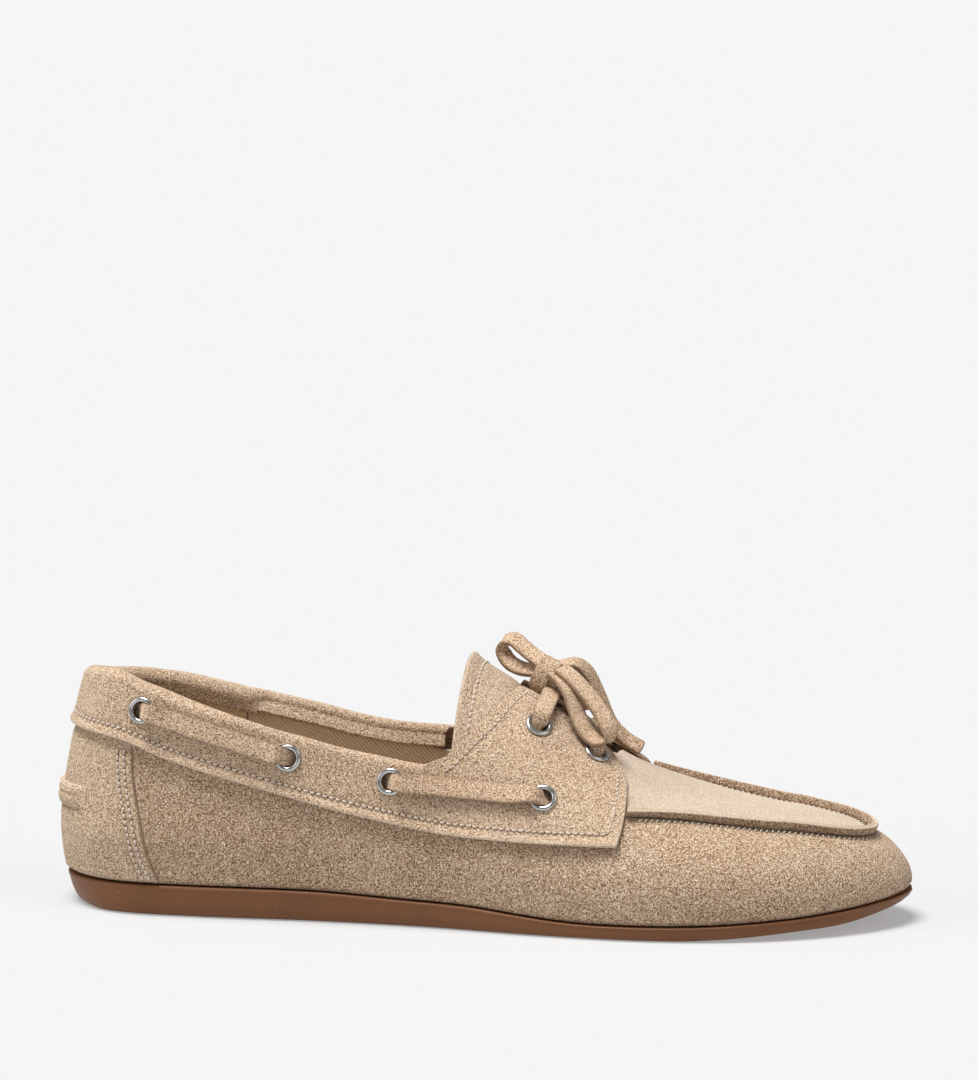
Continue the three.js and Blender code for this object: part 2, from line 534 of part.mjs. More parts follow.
// ---- plug (apron) and its raised seam --------------------------------------------------------
add("apron_plug", slab(15, 8, (k, si, sj) => {
  const q = si / 2, a = seam(q), b = seam(1 - q), na = seamNormal(q), nb = seamNormal(1 - q);
  const g = GAP / 2;
  const L = [a[0] - na[0] * g, a[1] - na[1] * g], M = [b[0] - nb[0] * g, b[1] - nb[1] * g];
  if (si === 1) { L[0] = M[0] = a[0] - g; L[1] = M[1] = a[1]; }
  const x = lerp(L[0], M[0], sj);
  return crownPoint(x, lerp(L[1], M[1], sj), (k === 0 ? 0 : -SUEDE) - 0.2 * (1 - smoothstep(174, 184, x)));
}), 0xd2b899);
{
  const n = 34, V = [], T = [];
  for (let i = 0; i <= n; i++) {
    const q = lerp(0.058, 0.95, i / n), c = seam(q), m = seamNormal(q), h = RIDGE_W / 2;
    const p = [c[0], c[1]];
    const low = crownPoint(...p, GAP), high = crownPoint(...p, GAP + RIDGE_H);
    const up = high.clone().sub(low).normalize(), out = new THREE.Vector3(m[0], m[1], 0);
    out.addScaledVector(up, -out.dot(up)).normalize();
    for (const [a, b] of [[-h, 0.1], [h, 0.35], [h, RIDGE_H - 0.5], [h * 0.5, RIDGE_H], [-h * 0.5, RIDGE_H], [-h, RIDGE_H - 0.5]])
      V.push(low.clone().addScaledVector(out, a).addScaledVector(up, b));
  }
  const id = (i, k) => i * 6 + (k % 6);
  for (let i = 0; i < n; i++)
    for (let k = 0; k < 6; k++) T.push([id(i, k), id(i + 1, k), id(i + 1, k + 1)], [id(i, k), id(i + 1, k + 1), id(i, k + 1)]);
  for (let k = 1; k < 5; k++) { T.push([id(0, 0), id(0, k), id(0, k + 1)]); T.push([id(n, 0), id(n, k + 1), id(n, k)]); }
  add("apron_ridge", bodyFrom(V, T), TAN_DARK);
}

// ---- heel tab -----------------------------------------------------------------------------
const tabW = stations(wOfX(12, 1), wOfX(12, -1));
add("heel_tab", slab(tabW.length - 1, 3, (k, si, sj, i) => {
  const w = tabW[i], u = wrap(w);
  const z = lerp(30.8, 37.2, sj), fat = k === 0 ? 2.4 - 0.6 * Math.abs(2 * sj - 1) : 0.5 + GAP;
  return layer(u, vOfZ(u, z), fat);
}), TAN_DARK);

// ---- stiffeners and lining ------------------------------------------------------------------
const FLOOR = 3.8; // up from the feather line: clear of the board
function wallPiece(nj, w0, w1, low, high, offs) {
  const W = stations(w0, w1, COARSE);
  return slab(W.length - 1, nj, (k, si, sj, i) => {
    const w = W[i], u = wrap(w);
    return layer(u, lerp(low(w), high(w), sj), offs[k]);
  });
}
const floorV = (w) => wallV(wrap(w), FLOOR);
const at = (z) => (w) => vOfZ(wrap(w), typeof z === "function" ? z(w) : z);
add("heel_counter", wallPiece(4, wOfX(60, 1), wOfX(60, -1), floorV, at((w) => lerp(50, 30, (xOf(w) / 60) ** 2)), STIFF.slice().reverse()), BOARD_C);
add("toe_puff", wallPiece(4, uOfX(206, -1), uOfX(206, 1), floorV, (w) => seamV(w) * 0.82, STIFF.slice().reverse()), BOARD_C);
const liningTop = (w) => (xOf(w) < 106 ? topLine(w) - 5.6
  : lerp(topLine(Math.max(Math.min(w, wOfX(106, -1)), wOfX(106, 1))) - 5.6, w < 0 ? 45.2 : 43.2, smoothstep(104, 113, xOf(w))));
const LIN = LINING.slice().reverse();
const inGrip = 50;
add("heel_grip", wallPiece(5, wOfX(inGrip, 1), wOfX(inGrip, -1), floorV, at((w) => topLine(w) - 3.6 - FOAM_R - 0.5), LIN), TAN_DARK);
add("lining_lateral", wallPiece(5, seamW(inGrip, -1, 0.0016), seamW(170, -1), floorV, at((w) => liningTop(w)), LIN), TWILL);
add("lining_medial", wallPiece(5, seamW(170, 1), seamW(inGrip, 1, 0.0016), floorV, at((w) => liningTop(w)), LIN), TWILL);
add("lining_vamp", wallPiece(5, uOfX(179.8, -1), uOfX(179.8, 1), floorV, (w) => Math.min(seamV(w) * 1.12, 0.9), LIN), TWILL);

// ---- tongue -------------------------------------------------------------------------------
const TONGUE_ROOT = 178, TONGUE_TIP = 126.2;
const tongueOff = table([[126, -0.1], [134, -0.35], [139, -0.8], [143.5, -2.9], [148, -3.6], [166, -3.6], [171, -2.7], [178, -1.7]]);
const tongueHalf = table([[126, 28], [134, 25], [140, 22], [150, 18.5], [160, 15], [170, 12.5], [178, 12]]);
add("tongue", slab(12, 8, (k, si, sj) => {
  const x = lerp(TONGUE_TIP, TONGUE_ROOT, si), y = lerp(-1, 1, sj) * tongueHalf(x) - 2 * (1 - smoothstep(140, 178, x));
  const back = -2.2 * Math.abs(lerp(-1, 1, sj)) ** 2 * (1 - smoothstep(126, 136, x)); // the rear edge curves
  return crownPoint(x + back, y, tongueOff(x) - (k === 0 ? 0 : TONGUE_T));
}), TAN);

// ---- lace: one thong through all twelve eyelets ----------------------------------------------
const path = []; // {p, b, w}
const LACE_OUT = top + GAP + LACE_T / 2 + 0.1, LACE_IN = -2.1;
function put(p, b, w, t = LACE_T / 2) { path.push({ p, b, w, t }); }
function surfaceDir(seat, target) {
  const d = target.clone().sub(seat.p);
  return d.addScaledVector(seat.n, -d.dot(seat.n)).normalize();
}
// Through one hole. inwards: travelling from outside to inside.
const CROSS = [[5, LACE_OUT + 0.7], [3.7, top + 2.45], [2.4, top + 2.1], [1.25, top + 0.85], [0.25, 0.9]];
const CROSS_IN = [[0.9, -0.7], [2.0, -1.8], [3.4, -2.15]];
function through(seat, outDir, inDir, inwards) {
  const dirB = (travel) => seat.n.clone().cross(travel);
  const seq = [];
  const bo = dirB(outDir.clone().negate()), bi = dirB(inDir);
  CROSS.forEach(([d, off], i) => seq.push({
    p: seat.p.clone().addScaledVector(seat.n, off).addScaledVector(outDir, d),
    b: bo.clone().lerp(bi, i === 4 ? 0.35 : i === 3 ? 0.1 : 0).normalize(),
    w: lerp(LACE_W, LACE_W_HOLE, Math.min([0.2, 0.6, 0.85, 1, 1][i], 1)) / 2 }));
  CROSS_IN.forEach(([d, off], i) => seq.push({
    p: seat.p.clone().addScaledVector(seat.n, off).addScaledVector(inDir, d),
    b: bo.clone().lerp(bi, [0.65, 0.9, 1][i]).normalize(),
    w: lerp(LACE_W_HOLE, LACE_W_IN, [0, 0.3, 0.7][i]) / 2 }));
  if (!inwards) {
    seq.reverse();
    for (const s of seq) s.b.negate();
  }
  for (const s of seq) put(s.p, s.b, s.w);
}
// Straight over the surface between two seats at an offset.
function run(a, b, off, width, steps) {
  const wa = a.u > 0.5 ? a.u - 1 : a.u, wb = b.u > 0.5 ? b.u - 1 : b.u;
  const z0 = a.p.z / HEIGHT, z1 = b.p.z / HEIGHT, pts = [];
  for (let i = 1; i < steps; i++) {
    const t = i / steps, w = lerp(wa, wb, t), u = wrap(w);
    const f = frameAt(u, vOfZ(u, lerp(z0, z1, t)));
    pts.push({ p: f.p.clone().addScaledVector(f.n, off), n: f.n });
  }
  pts.forEach((q, i) => {
    const prev = i ? pts[i - 1].p : a.p.clone().addScaledVector(a.n, off);
    const next = i < pts.length - 1 ? pts[i + 1].p : b.p.clone().addScaledVector(b.n, off);
    put(q.p, q.n.clone().cross(next.clone().sub(prev).normalize()), width / 2);
  });
}
const KNOT = new THREE.Vector3(147.8 * FX, -2 * WIDTH, 71.6 * HEIGHT);
const S = (name) => seats[name];
const toward = (a, b) => surfaceDir(a, b.p);
// The crossing strand from an e hole on one side to the f hole on the other.
const CROSSX = 156.5;
function crossing(fromE, toF, over, reverse) {
  const side = fromE.side;
  const at2 = (y, off) => {
    const t = (y - fromE.p.y / WIDTH) / (toF.p.y / WIDTH - fromE.p.y / WIDTH);
    return crownPoint(lerp(fromE.p.x / FX, toF.p.x / FX, t), y, off);
  };
  const g = LACING_GAP;
  const list = over
    ? [[side * (g + 2.4), LACE_OUT + 0.6], [side * g, LACE_OUT + 0.2], [side * 4, 2.9], [side * 0.5, 2.2],
      [-side * 2.6, 0.6], [-side * 5.2, -1.2], [-side * (g + 2), -1.7]]
    : [[side * (g + 2.4), LACE_OUT + 0.6], [side * (g - 0.2), LACE_OUT], [side * 5, 1.6], [side * 2.4, -0.1],
      [-side, -0.8], [-side * 4, -1.3], [-side * (g + 2), -1.7]];
  const pts = list.map(([y, off]) => at2(y, off));
  const out = [];
  for (let i = 0; i < pts.length; i++) {
    const t = pts[Math.min(i + 1, pts.length - 1)].clone().sub(pts[Math.max(i - 1, 0)]).normalize();
    const n = at2(list[i][0], list[i][1] + 1).sub(pts[i]).normalize();
    out.push({ p: pts[i], b: n.cross(t).normalize(), w: lerp(LACE_W, LACE_W_IN, Math.min(i / 3, 1)) / 2 });
  }
  return { first: pts[0], last: pts[pts.length - 1], out };
}
const crossA = crossing(S("lateral_e"), S("medial_f"), true);
const crossB = crossing(S("medial_e"), S("lateral_f"), false);
function knotStrand(seat, fromKnot) {
  // free strand between an f hole and the knot
  const start = KNOT.clone().add(new THREE.Vector3(0.6 * FX, seat.side * 3.4, -3.6));
  const end = seat.p.clone().addScaledVector(seat.n, top + 2.6).addScaledVector(surfaceDir(seat, KNOT), 3.9);
  const dir = end.clone().sub(start).normalize();
  const b = new THREE.Vector3(1, 0, 0).addScaledVector(dir, -dir.x).normalize();
  const pts = [start, start.clone().lerp(end, 0.33), start.clone().lerp(end, 0.66)];
  return pts.map((p) => ({ p, b, w: 2.2 }));
}
{
  const f1 = S("medial_f"), f2 = S("lateral_f");
  const s1 = knotStrand(f1), s2 = knotStrand(f2);
  // knot to the medial f hole, going in
  const bSign = (seq, travel, n) => seq;
  const d1 = surfaceDir(f1, KNOT), in1 = surfaceDir(f1, crossA.last);
  s1.forEach((q) => put(q.p, f1.n.clone().cross(d1.clone().negate()), q.w));
  through(f1, d1, in1, true);
  path.splice(3, 1);
  crossA.out.slice().reverse().forEach((q) => put(q.p, q.b.clone().negate(), q.w));
  const order = ["e", "d", "c", "b", "a"];
  const legs = (tag) => order.map((k) => S(`${tag}_${k}`));
  const L = legs("lateral"), M = legs("medial");
  through(L[0], surfaceDir(L[0], crossA.first), toward(L[0], L[1]), true);
  run(L[0], L[1], LACE_IN, LACE_W_IN, 3);
  through(L[1], toward(L[1], L[2]), toward(L[1], L[0]), false);
  run(L[1], L[2], LACE_OUT, LACE_W, 5);
  through(L[2], toward(L[2], L[1]), toward(L[2], L[3]), true);
  run(L[2], L[3], LACE_IN, LACE_W_IN, 5);
  through(L[3], toward(L[3], L[4]), toward(L[3], L[2]), false);
  run(L[3], L[4], LACE_OUT, LACE_W, 6);
  const heelDir = (a, s) => {
    const w = a.u > 0.5 ? a.u - 1 : a.u;
    const q = frameAt(wrap(w + (s < 0 ? -0.01 : 0.01)), a.v).p;
    return surfaceDir(a, q);
  };
  through(L[4], toward(L[4], L[3]), heelDir(L[4], -1), true);
  run(L[4], M[4], LACE_IN, LACE_W_IN, 12);
  through(M[4], toward(M[4], M[3]), heelDir(M[4], 1), false);
  run(M[4], M[3], LACE_OUT, LACE_W, 6);
  through(M[3], toward(M[3], M[4]), toward(M[3], M[2]), true);
  run(M[3], M[2], LACE_IN, LACE_W_IN, 5);
  through(M[2], toward(M[2], M[1]), toward(M[2], M[3]), false);
  run(M[2], M[1], LACE_OUT, LACE_W, 6);
  through(M[1], toward(M[1], M[2]), toward(M[1], M[0]), true);
  run(M[1], M[0], LACE_IN, LACE_W_IN, 3);
  through(M[0], surfaceDir(M[0], crossB.first), toward(M[0], M[1]), false);
  crossB.out.forEach((q) => put(q.p, q.b, q.w));
  const d2 = surfaceDir(f2, KNOT), in2 = surfaceDir(f2, crossB.last);
  through(f2, d2, in2, false);
  path.splice(path.length - 1, 1);
  s2.slice().reverse().forEach((q) => put(q.p, f2.n.clone().cross(d2), q.w));
}
for (let i = 1; i < path.length; i++) if (path[i].b.dot(path[i - 1].b) < 0) path[i].b.negate();
add("lace", sweep(path.map((q) => q.p), path.map((q) => q.b), path.map((q) => q.w), path.map((q) => q.t), 8), TAN_DARK);

// ---- bow ------------------------------------------------------------------------------------
{ // knot: a rounded lump, taller than wide
  const V = [], T = [], n = 14, m = 8;
  for (let i = 0; i <= m; i++)
    for (let j = 0; j < n; j++) {
      const a = Math.PI * (i / m - 0.5), b = (2 * Math.PI * j) / n;
      const q = (x) => Math.sign(x) * Math.abs(x) ** 0.8;
      V.push(KNOT.clone().add(new THREE.Vector3(3.3 * q(Math.cos(a)) * q(Math.cos(b)),
        4.2 * q(Math.cos(a)) * q(Math.sin(b)), 4.2 * q(Math.sin(a)) + 0.9)));
    }
  const id = (i, j) => i * n + (j % n);
  for (let i = 0; i < m; i++)
    for (let j = 0; j < n; j++) T.push([id(i, j), id(i, j + 1), id(i + 1, j + 1)], [id(i, j), id(i + 1, j + 1), id(i + 1, j)]);
  add("lace_knot", bodyFrom(V, T), TAN_DARK);
}
function ribbon(name, points, sides, steps, width = LACE_W) {
  const k = walkedV(points), c = curve(k, points), s = curve(k, sides);
  const P = [], B = [];
  for (let i = 0; i <= steps; i++) {
    const p = c(i / steps);
    P.push(new THREE.Vector3(p[0] * FX, p[1] * WIDTH, p[2] * HEIGHT));
    B.push(new THREE.Vector3(...s(i / steps)).normalize());
  }
  add(name, sweep(P, B, P.map(() => width / 2), P.map(() => LACE_T / 2), 8), TAN_DARK);
}
function walkedV(points) {
  const out = [0];
  for (let i = 1; i < points.length; i++)
    out.push(out[i - 1] + Math.hypot(...points[i].map((v, k) => v - points[i - 1][k])));
  return out.map((d) => d / out[out.length - 1]);
}
const BN = [0.62, -0.3, 0.72], BF = [0.1, 0.95, 0.25];
ribbon("lace_loop_lateral", [[150.5, -6.6, 72.3], [154.2, -11.2, 68.6], [158.6, -16.6, 62.5], [162.6, -21.2, 57.6], [166, -23.4, 57.0],
  [168.8, -21.2, 59.6], [168.2, -15.6, 65.4], [163.4, -10.2, 71.6], [157.6, -7.0, 75.4], [151.9, -5.3, 76.5]],
  [BN, BN, BN, BN, BN, BN, BN, BN, BN, BN], 22);
ribbon("lace_loop_rear", [[146.4, 2.9, 71.2], [140.8, 6.2, 71.0], [135.6, 8.6, 72.6], [132.4, 9.4, 77.0], [133.4, 9.2, 81.6],
  [137, 8.2, 82.8], [140.8, 6.4, 80.6], [146.6, 2.6, 76.3]], [BF, BF, BF, BF, BF, BF, BF, BF], 20, 4.8);
ribbon("lace_tail_front", [[151.3, 0.2, 74.0], [156.2, 2.4, 73.4], [161, 4.4, 69], [165.6, 6.4, 61.5], [168.8, 8.4, 55], [172, 9.8, 51.8], [175.4, 11, 50.2]],
  [[0.2, 0.9, 0.5], [0.3, 0.9, 0.3], [0.5, 0.8, 0.3], [0.5, 0.8, 0.3], [0.3, 0.9, 0.3], [0, 1, 0.2], [0, 1, 0.2]], 14, 4.6);
ribbon("lace_tail_medial", [[149.8, 2.1, 71.4], [152.6, 6.4, 71.2], [154.2, 11, 68.4], [155.2, 15.8, 63.6], [156, 20.4, 59]],
  [[1, -0.4, 0], [1, -0.3, 0], [1, -0.2, 0], [1, -0.1, 0], [1, 0, 0]], 12, 4.4);

// ---- sole, board and footbed ------------------------------------------------------------------
const rim = (u, inset) => {
  const s = section(u);
  return [s.o[0] - s.d[0] * inset, s.o[1] - s.d[1] * inset];
};
// Plan outline of the room inside the lining, a little above the floor.
const inside = (u, inset) => {
  const p = layer(wrap(u), wallV(wrap(u), FLOOR + FOOTBED + 1.5), -inset);
  return [p.x / FX, p.y / WIDTH];
};
const nearest = (x) => Math.min(Math.max(x, 0.5), 257.5);
add("outsole", plate(3, rim, { z: (x) => feather(nearest(x)) - GAP, inset: -SOLE_OUT },
  { z: (x) => soleRise(nearest(x)), inset: -SOLE_OUT, bevel: 1.0 }), RUBBER, 0, 0.8);
add("insole_board", plate(2, rim, { z: (x) => feather(nearest(x)) + SUEDE + GAP + BOARD, inset: 2.6 },
  { z: (x) => feather(nearest(x)) + SUEDE + GAP, inset: 2.6, bevel: 0.2 }), BOARD_C);
add("footbed", plate(4, inside, { z: (x, e) => feather(nearest(x)) + FLOOR + FOOTBED + 1.2 * e ** 4, inset: 5.0 },
  { z: (x) => feather(nearest(x)) + FLOOR - 0.2, inset: 5.0, bevel: 0.4 }), TAN);

// Stand on the ground, centred in plan.
const box = new THREE.Box3().setFromObject(group);
const shift = new THREE.Vector3(-(box.min.x + box.max.x) / 2, -(box.min.y + box.max.y) / 2, -box.min.z);
group.position.copy(shift);

export default group;
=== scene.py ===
"""Suede moccasin shoe for the right foot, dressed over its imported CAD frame.

Every upper piece is a layer of one smooth foot-shaped surface, the last, worked out with numpy in
millimetres (x heel to toe, y to the inner side, z up from the ground) and written out in metres.
"""
import logging
from dataclasses import dataclass, field
from enum import IntEnum
from typing import Callable, Dict, List, Optional, Sequence, Tuple, Union
import bpy  # noqa: E402
import numpy as np  # noqa: E402
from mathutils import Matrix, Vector  # noqa: E402


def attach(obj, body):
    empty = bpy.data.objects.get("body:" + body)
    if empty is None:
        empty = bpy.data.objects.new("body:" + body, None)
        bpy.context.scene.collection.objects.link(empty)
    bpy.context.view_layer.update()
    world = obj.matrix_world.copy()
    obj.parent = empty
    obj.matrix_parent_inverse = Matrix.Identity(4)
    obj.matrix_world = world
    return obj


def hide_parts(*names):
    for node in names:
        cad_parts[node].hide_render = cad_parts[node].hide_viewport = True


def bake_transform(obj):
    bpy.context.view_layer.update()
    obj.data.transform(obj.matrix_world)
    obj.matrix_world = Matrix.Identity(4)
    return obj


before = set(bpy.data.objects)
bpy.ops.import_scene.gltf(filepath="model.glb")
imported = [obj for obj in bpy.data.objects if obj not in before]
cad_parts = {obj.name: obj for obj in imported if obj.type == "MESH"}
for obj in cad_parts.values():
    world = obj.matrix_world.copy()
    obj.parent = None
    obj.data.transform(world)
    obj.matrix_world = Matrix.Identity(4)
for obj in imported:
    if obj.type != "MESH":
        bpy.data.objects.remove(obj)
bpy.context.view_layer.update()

LOG = logging.getLogger("moccasin")
Array = np.ndarray
Colour = Tuple[float, float, float]
Socket = bpy.types.NodeSocket
Number = Union[float, Socket]
Shade = Union[Colour, Socket]
TAU = 2 * np.pi
MM = 1000.0  # millimetres in a metre
SHIFT = np.array([-127.613, 0.918, 0.0])  # from the drawn millimetres to the frame's


class Side(IntEnum):
    """Side of the shoe; its value is the sign of y there."""

    LATERAL = -1
    MEDIAL = 1


# ---- curves ----------------------------------------------------------------------------------
def smooth_curve(knots: Sequence[float], values: Sequence, t: Array) -> Array:
    """Cubic Hermite curve through the values, its slopes the differences of their neighbours.

    Args:
        knots: Rising parameters of the values.
        values: Numbers or points, one for each knot.
        t: Parameters to read it at, held inside the knots.

    Returns:
        The curve at t.
    """
    k, v = np.asarray(knots, float), np.asarray(values, float)
    t = np.clip(np.asarray(t, float), k[0], k[-1])
    m = np.empty_like(v)
    span = (k[2:] - k[:-2]).reshape((-1,) + (1,) * (v.ndim - 1))
    m[1:-1] = (v[2:] - v[:-2]) / span
    m[0], m[-1] = (v[1] - v[0]) / (k[1] - k[0]), (v[-1] - v[-2]) / (k[-1] - k[-2])
    i = np.clip(np.searchsorted(k, t, side="right") - 1, 0, len(k) - 2)
    h = k[i + 1] - k[i]
    s = (t - k[i]) / h
    if v.ndim > 1:
        s, h = s[..., None], h[..., None]
    return ((1 + 2 * s) * (1 - s) ** 2 * v[i] + s * (1 - s) ** 2 * h * m[i]
            + s * s * (3 - 2 * s) * v[i + 1] - s * s * (1 - s) * h * m[i + 1])


def table(pairs: Sequence[Tuple[float, float]]) -> Callable[[Array], Array]:
    """A smooth curve through (knot, value) pairs, as a function of one array."""
    k, v = [p[0] for p in pairs], [p[1] for p in pairs]
    return lambda t: smooth_curve(k, v, t)


def ease(a: float, b: float, x: Array) -> Array:
    """Smooth step from 0 at a to 1 at b."""
    s = np.clip((np.asarray(x, float) - a) / (b - a), 0, 1)
    return s * s * (3 - 2 * s)


def travelled(points: Sequence) -> Array:
    """Length walked along a line of points at each of them."""
    return np.r_[0, np.cumsum(np.linalg.norm(np.diff(np.asarray(points, float), axis=0), axis=1))]


def walked(points: Sequence) -> Array:
    """As travelled, but as a share of the whole length."""
    d = travelled(points)
    return d / d[-1]


def unit(v: Array) -> Array:
    """Vectors made one long."""
    return v / np.maximum(np.linalg.norm(v, axis=-1, keepdims=True), 1e-12)


def spaced(points: Array, pitch: float, closed: bool = False) -> Array:
    """Points put again along their own line at an even pitch.

    Args:
        points: The line.
        pitch: Distance wanted between neighbours.
        closed: Whether the line's end joins its start.

    Returns:
        The evenly spaced points.
    """
    p = np.vstack([points, points[:1]]) if closed else np.asarray(points, float)
    d = travelled(p)
    count = max(int(round(d[-1] / pitch)), 2)
    at = np.linspace(0, d[-1], count + 1)
    return np.stack([np.interp(at, d, p[:, i]) for i in range(p.shape[1])], -1)


def rounded(points: Array, passes: int) -> Array:
    """A line of points with its corners worn round by averaging each with its neighbours."""
    p = np.array(points, float)
    for _ in range(passes):
        p[1:-1] = 0.25 * p[:-2] + 0.5 * p[1:-1] + 0.25 * p[2:]
    return p


# ---- the last --------------------------------------------------------------------------------
@dataclass
class Last:
    """The foot-shaped surface: u runs round the feather line (0 heel, 0.5 toe), v up to the crown."""

    lateral: Tuple = ((0.5, 0), (5.5, -15.5), (20, -26.5), (45, -30), (80, -30.5), (115, -33.5), (150, -40),
                      (180, -43), (205, -40.5), (226, -33), (243, -21), (254, -7.5), (257.5, 4))
    medial: Tuple = ((0.5, 0), (5.5, 14.5), (20, 24.5), (45, 27.5), (70, 26.5), (100, 26), (130, 29.5),
                     (160, 37), (185, 41), (210, 40), (232, 34), (247, 25), (255.5, 14), (257.5, 4))
    feather_line: Tuple = ((0, 9.5), (80, 9.5), (108, 8.3), (130, 7.5), (146, 6), (157, 5), (170, 4.5),
                           (200, 4.8), (226, 6.2), (240, 7.4), (250, 8.6), (258, 9.8))
    crown_line: Tuple = ((0, 108), (15, 128), (35, 146), (73, 141), (112, 97), (126, 79), (137, 71.5),
                         (147, 66), (157, 58.5), (168, 50.5), (182, 43.5), (199, 38), (212, 35),
                         (222, 33.6), (260, 33.2))
    fullness_line: Tuple = ((0, 2), (112, 2), (147, 2.05), (176, 2.25), (199, 2.4), (222, 2.2),
                            (240, 1.95), (258, 1.75))
    spine_line: Tuple = ((32, -0.5), (90, -2), (140, -2), (180, -0.5), (222, 3.5))
    bulge: float = 2.6  # swell of the side, mm
    table_half: int = 4000  # steps of each side's table of u against length
    walk_step: float = 0.002  # u and v step for directions along the surface
    plan_step: float = 0.8  # mm step for the slope over a plan position

    def __post_init__(self) -> None:
        """Joins the two sides into one closed outline and reads its tables once."""
        lat, med = np.array(self.lateral, float), np.array(self.medial, float)
        k = np.r_[walked(lat) / 2, (1 - walked(med) / 2)[:-1][::-1]]
        p = np.vstack([lat, med[:-1][::-1]])
        n = len(k)
        self.knots = np.r_[k[n - 3] - 1, k[n - 2] - 1, k, 1 + k[1], 1 + k[2]]
        self.points = np.vstack([p[n - 3], p[n - 2], p, p[1], p[2]])
        self.feather, self.crown = table(self.feather_line), table(self.crown_line)
        self.fullness, self.spine_y = table(self.fullness_line), table(self.spine_line)
        half = self.table_half
        u = np.linspace(0, 1, 2 * half + 1)
        x = self.outline(u)[:, 0]
        self.side_tables = {Side.LATERAL: (x[:half + 1], u[:half + 1]),
                            Side.MEDIAL: (x[half:][::-1], u[half:][::-1])}

    def outline(self, u: Array) -> Array:
        """Feather line in plan at u."""
        return smooth_curve(self.knots, self.points, np.mod(u, 1))

    def u_of_x(self, x: Array, side: Side) -> Array:
        """u of the feather line at length x on one side."""
        return np.interp(x, *self.side_tables[side])

    def w_of_x(self, x: Array, side: Side) -> Array:
        """As u_of_x, but running through 0 at the heel: negative on the medial side."""
        return self.u_of_x(x, side) - (side == Side.MEDIAL)

    def w_span(self, x: float) -> Tuple[float, float]:
        """w of the medial and of the lateral point at length x."""
        return float(self.w_of_x(x, Side.MEDIAL)), float(self.w_of_x(x, Side.LATERAL))

    def section(self, u: Array) -> Tuple:
        """Outline point, spine point, half width, its direction, feather and crown heights, fullness."""
        o = self.outline(u)
        x = np.clip(o[..., 0], self.spine_line[0][0], self.spine_line[-1][0])
        sp = np.stack([x, self.spine_y(x)], -1)
        w = np.linalg.norm(o - sp, axis=-1)
        return (o, sp, w, (o - sp) / w[..., None], self.feather(o[..., 0]), self.crown(o[..., 0]),
                self.fullness(o[..., 0]))

    def belly(self, up: Array, r: Array) -> Array:
        """How far the side swells out: fast over the first 14 mm of height, gone 45 mm above 18."""
        return (self.bulge * np.minimum(up / 14, 1) ** 0.6 * np.clip(1 - np.maximum(up - 18, 0) / 45, 0, 1)
                * np.minimum(1, r * 1.5))

    def point(self, u: Array, v: Array) -> Array:
        """Point of the last: across it a superellipse from the feather line (v 0) to the crown (v 1)."""
        u, v = np.broadcast_arrays(np.asarray(u, float), np.asarray(v, float))
        _, sp, w, d, zf, zc, n = self.section(u)
        a = np.clip(v, 0, 1) * np.pi / 2
        r = np.maximum(np.cos(a), 1e-9) ** (2 / n)
        up = (zc - zf) * np.maximum(np.sin(a), 1e-9) ** (2 / n)
        k = w * r + self.belly(up, r)
        return np.concatenate([sp + d * k[..., None], (zf + up)[..., None]], -1)

    def v_of_z(self, u: Array, z: Array) -> Array:
        """v of the last at height z."""
        _, _, _, _, zf, zc, n = self.section(u)
        return np.arcsin(np.clip((z - zf) / (zc - zf), 0, 1) ** (n / 2)) / (np.pi / 2)

    def uv_at_plan(self, x: Array, y: Array) -> Tuple[Array, Array]:
        """u and v of the point of the last over a plan position."""
        x, y = np.broadcast_arrays(np.asarray(x, float), np.asarray(y, float))
        u_side = np.where(y < self.spine_y(x), self.u_of_x(x, Side.LATERAL), self.u_of_x(x, Side.MEDIAL))
        end_x, end_y = self.spine_line[-1]
        fan = np.linspace(self.u_of_x(end_x, Side.LATERAL), self.u_of_x(end_x, Side.MEDIAL), 1201)
        o = self.outline(fan)
        angle = np.arctan2(o[:, 1] - end_y, o[:, 0] - end_x)
        u_toe = np.interp(np.arctan2(y - end_y, x - end_x), angle, fan)
        u = np.where(x <= end_x, u_side, u_toe)
        _, sp, w, _, zf, zc, n = self.section(u)
        dist = np.hypot(x - sp[..., 0], y - sp[..., 1])
        r = dist / w
        for _ in range(8):
            up = (zc - zf) * np.maximum(1 - np.minimum(r, 1) ** n, 0) ** (1 / n)
            r = np.maximum(dist - self.belly(up, r), 0) / w
        return u, np.arccos(np.minimum(r, 1) ** (n / 2)) / (np.pi / 2)

    def uv_at_side(self, x: Array, z: Array, side: Side) -> Tuple[Array, Array]:
        """u and v of the point of the last at length x and height z on one side."""
        x, z = np.broadcast_arrays(np.asarray(x, float), np.asarray(z, float))
        lo, hi = np.full(x.shape, float(side == Side.MEDIAL)), np.full(x.shape, 0.5)
        for _ in range(32):
            mid = (lo + hi) / 2
            less = self.point(mid, self.v_of_z(mid, z))[..., 0] < x
            lo, hi = np.where(less, mid, lo), np.where(less, hi, mid)
        u = (lo + hi) / 2
        return u, self.v_of_z(u, z)

    def frame_at(self, u: Array, v: Array) -> Tuple[Array, Array, Array]:
        """Point, outward normal and the direction up the surface."""
        e = self.walk_step
        vv = np.clip(v, e, 0.985)
        du = unit(self.point(u + e, vv) - self.point(u - e, vv))
        dv = unit(self.point(u, vv + e) - self.point(u, vv - e))
        n = unit(np.cross(du, dv))
        return self.point(u, v), n, unit(np.cross(n, du))

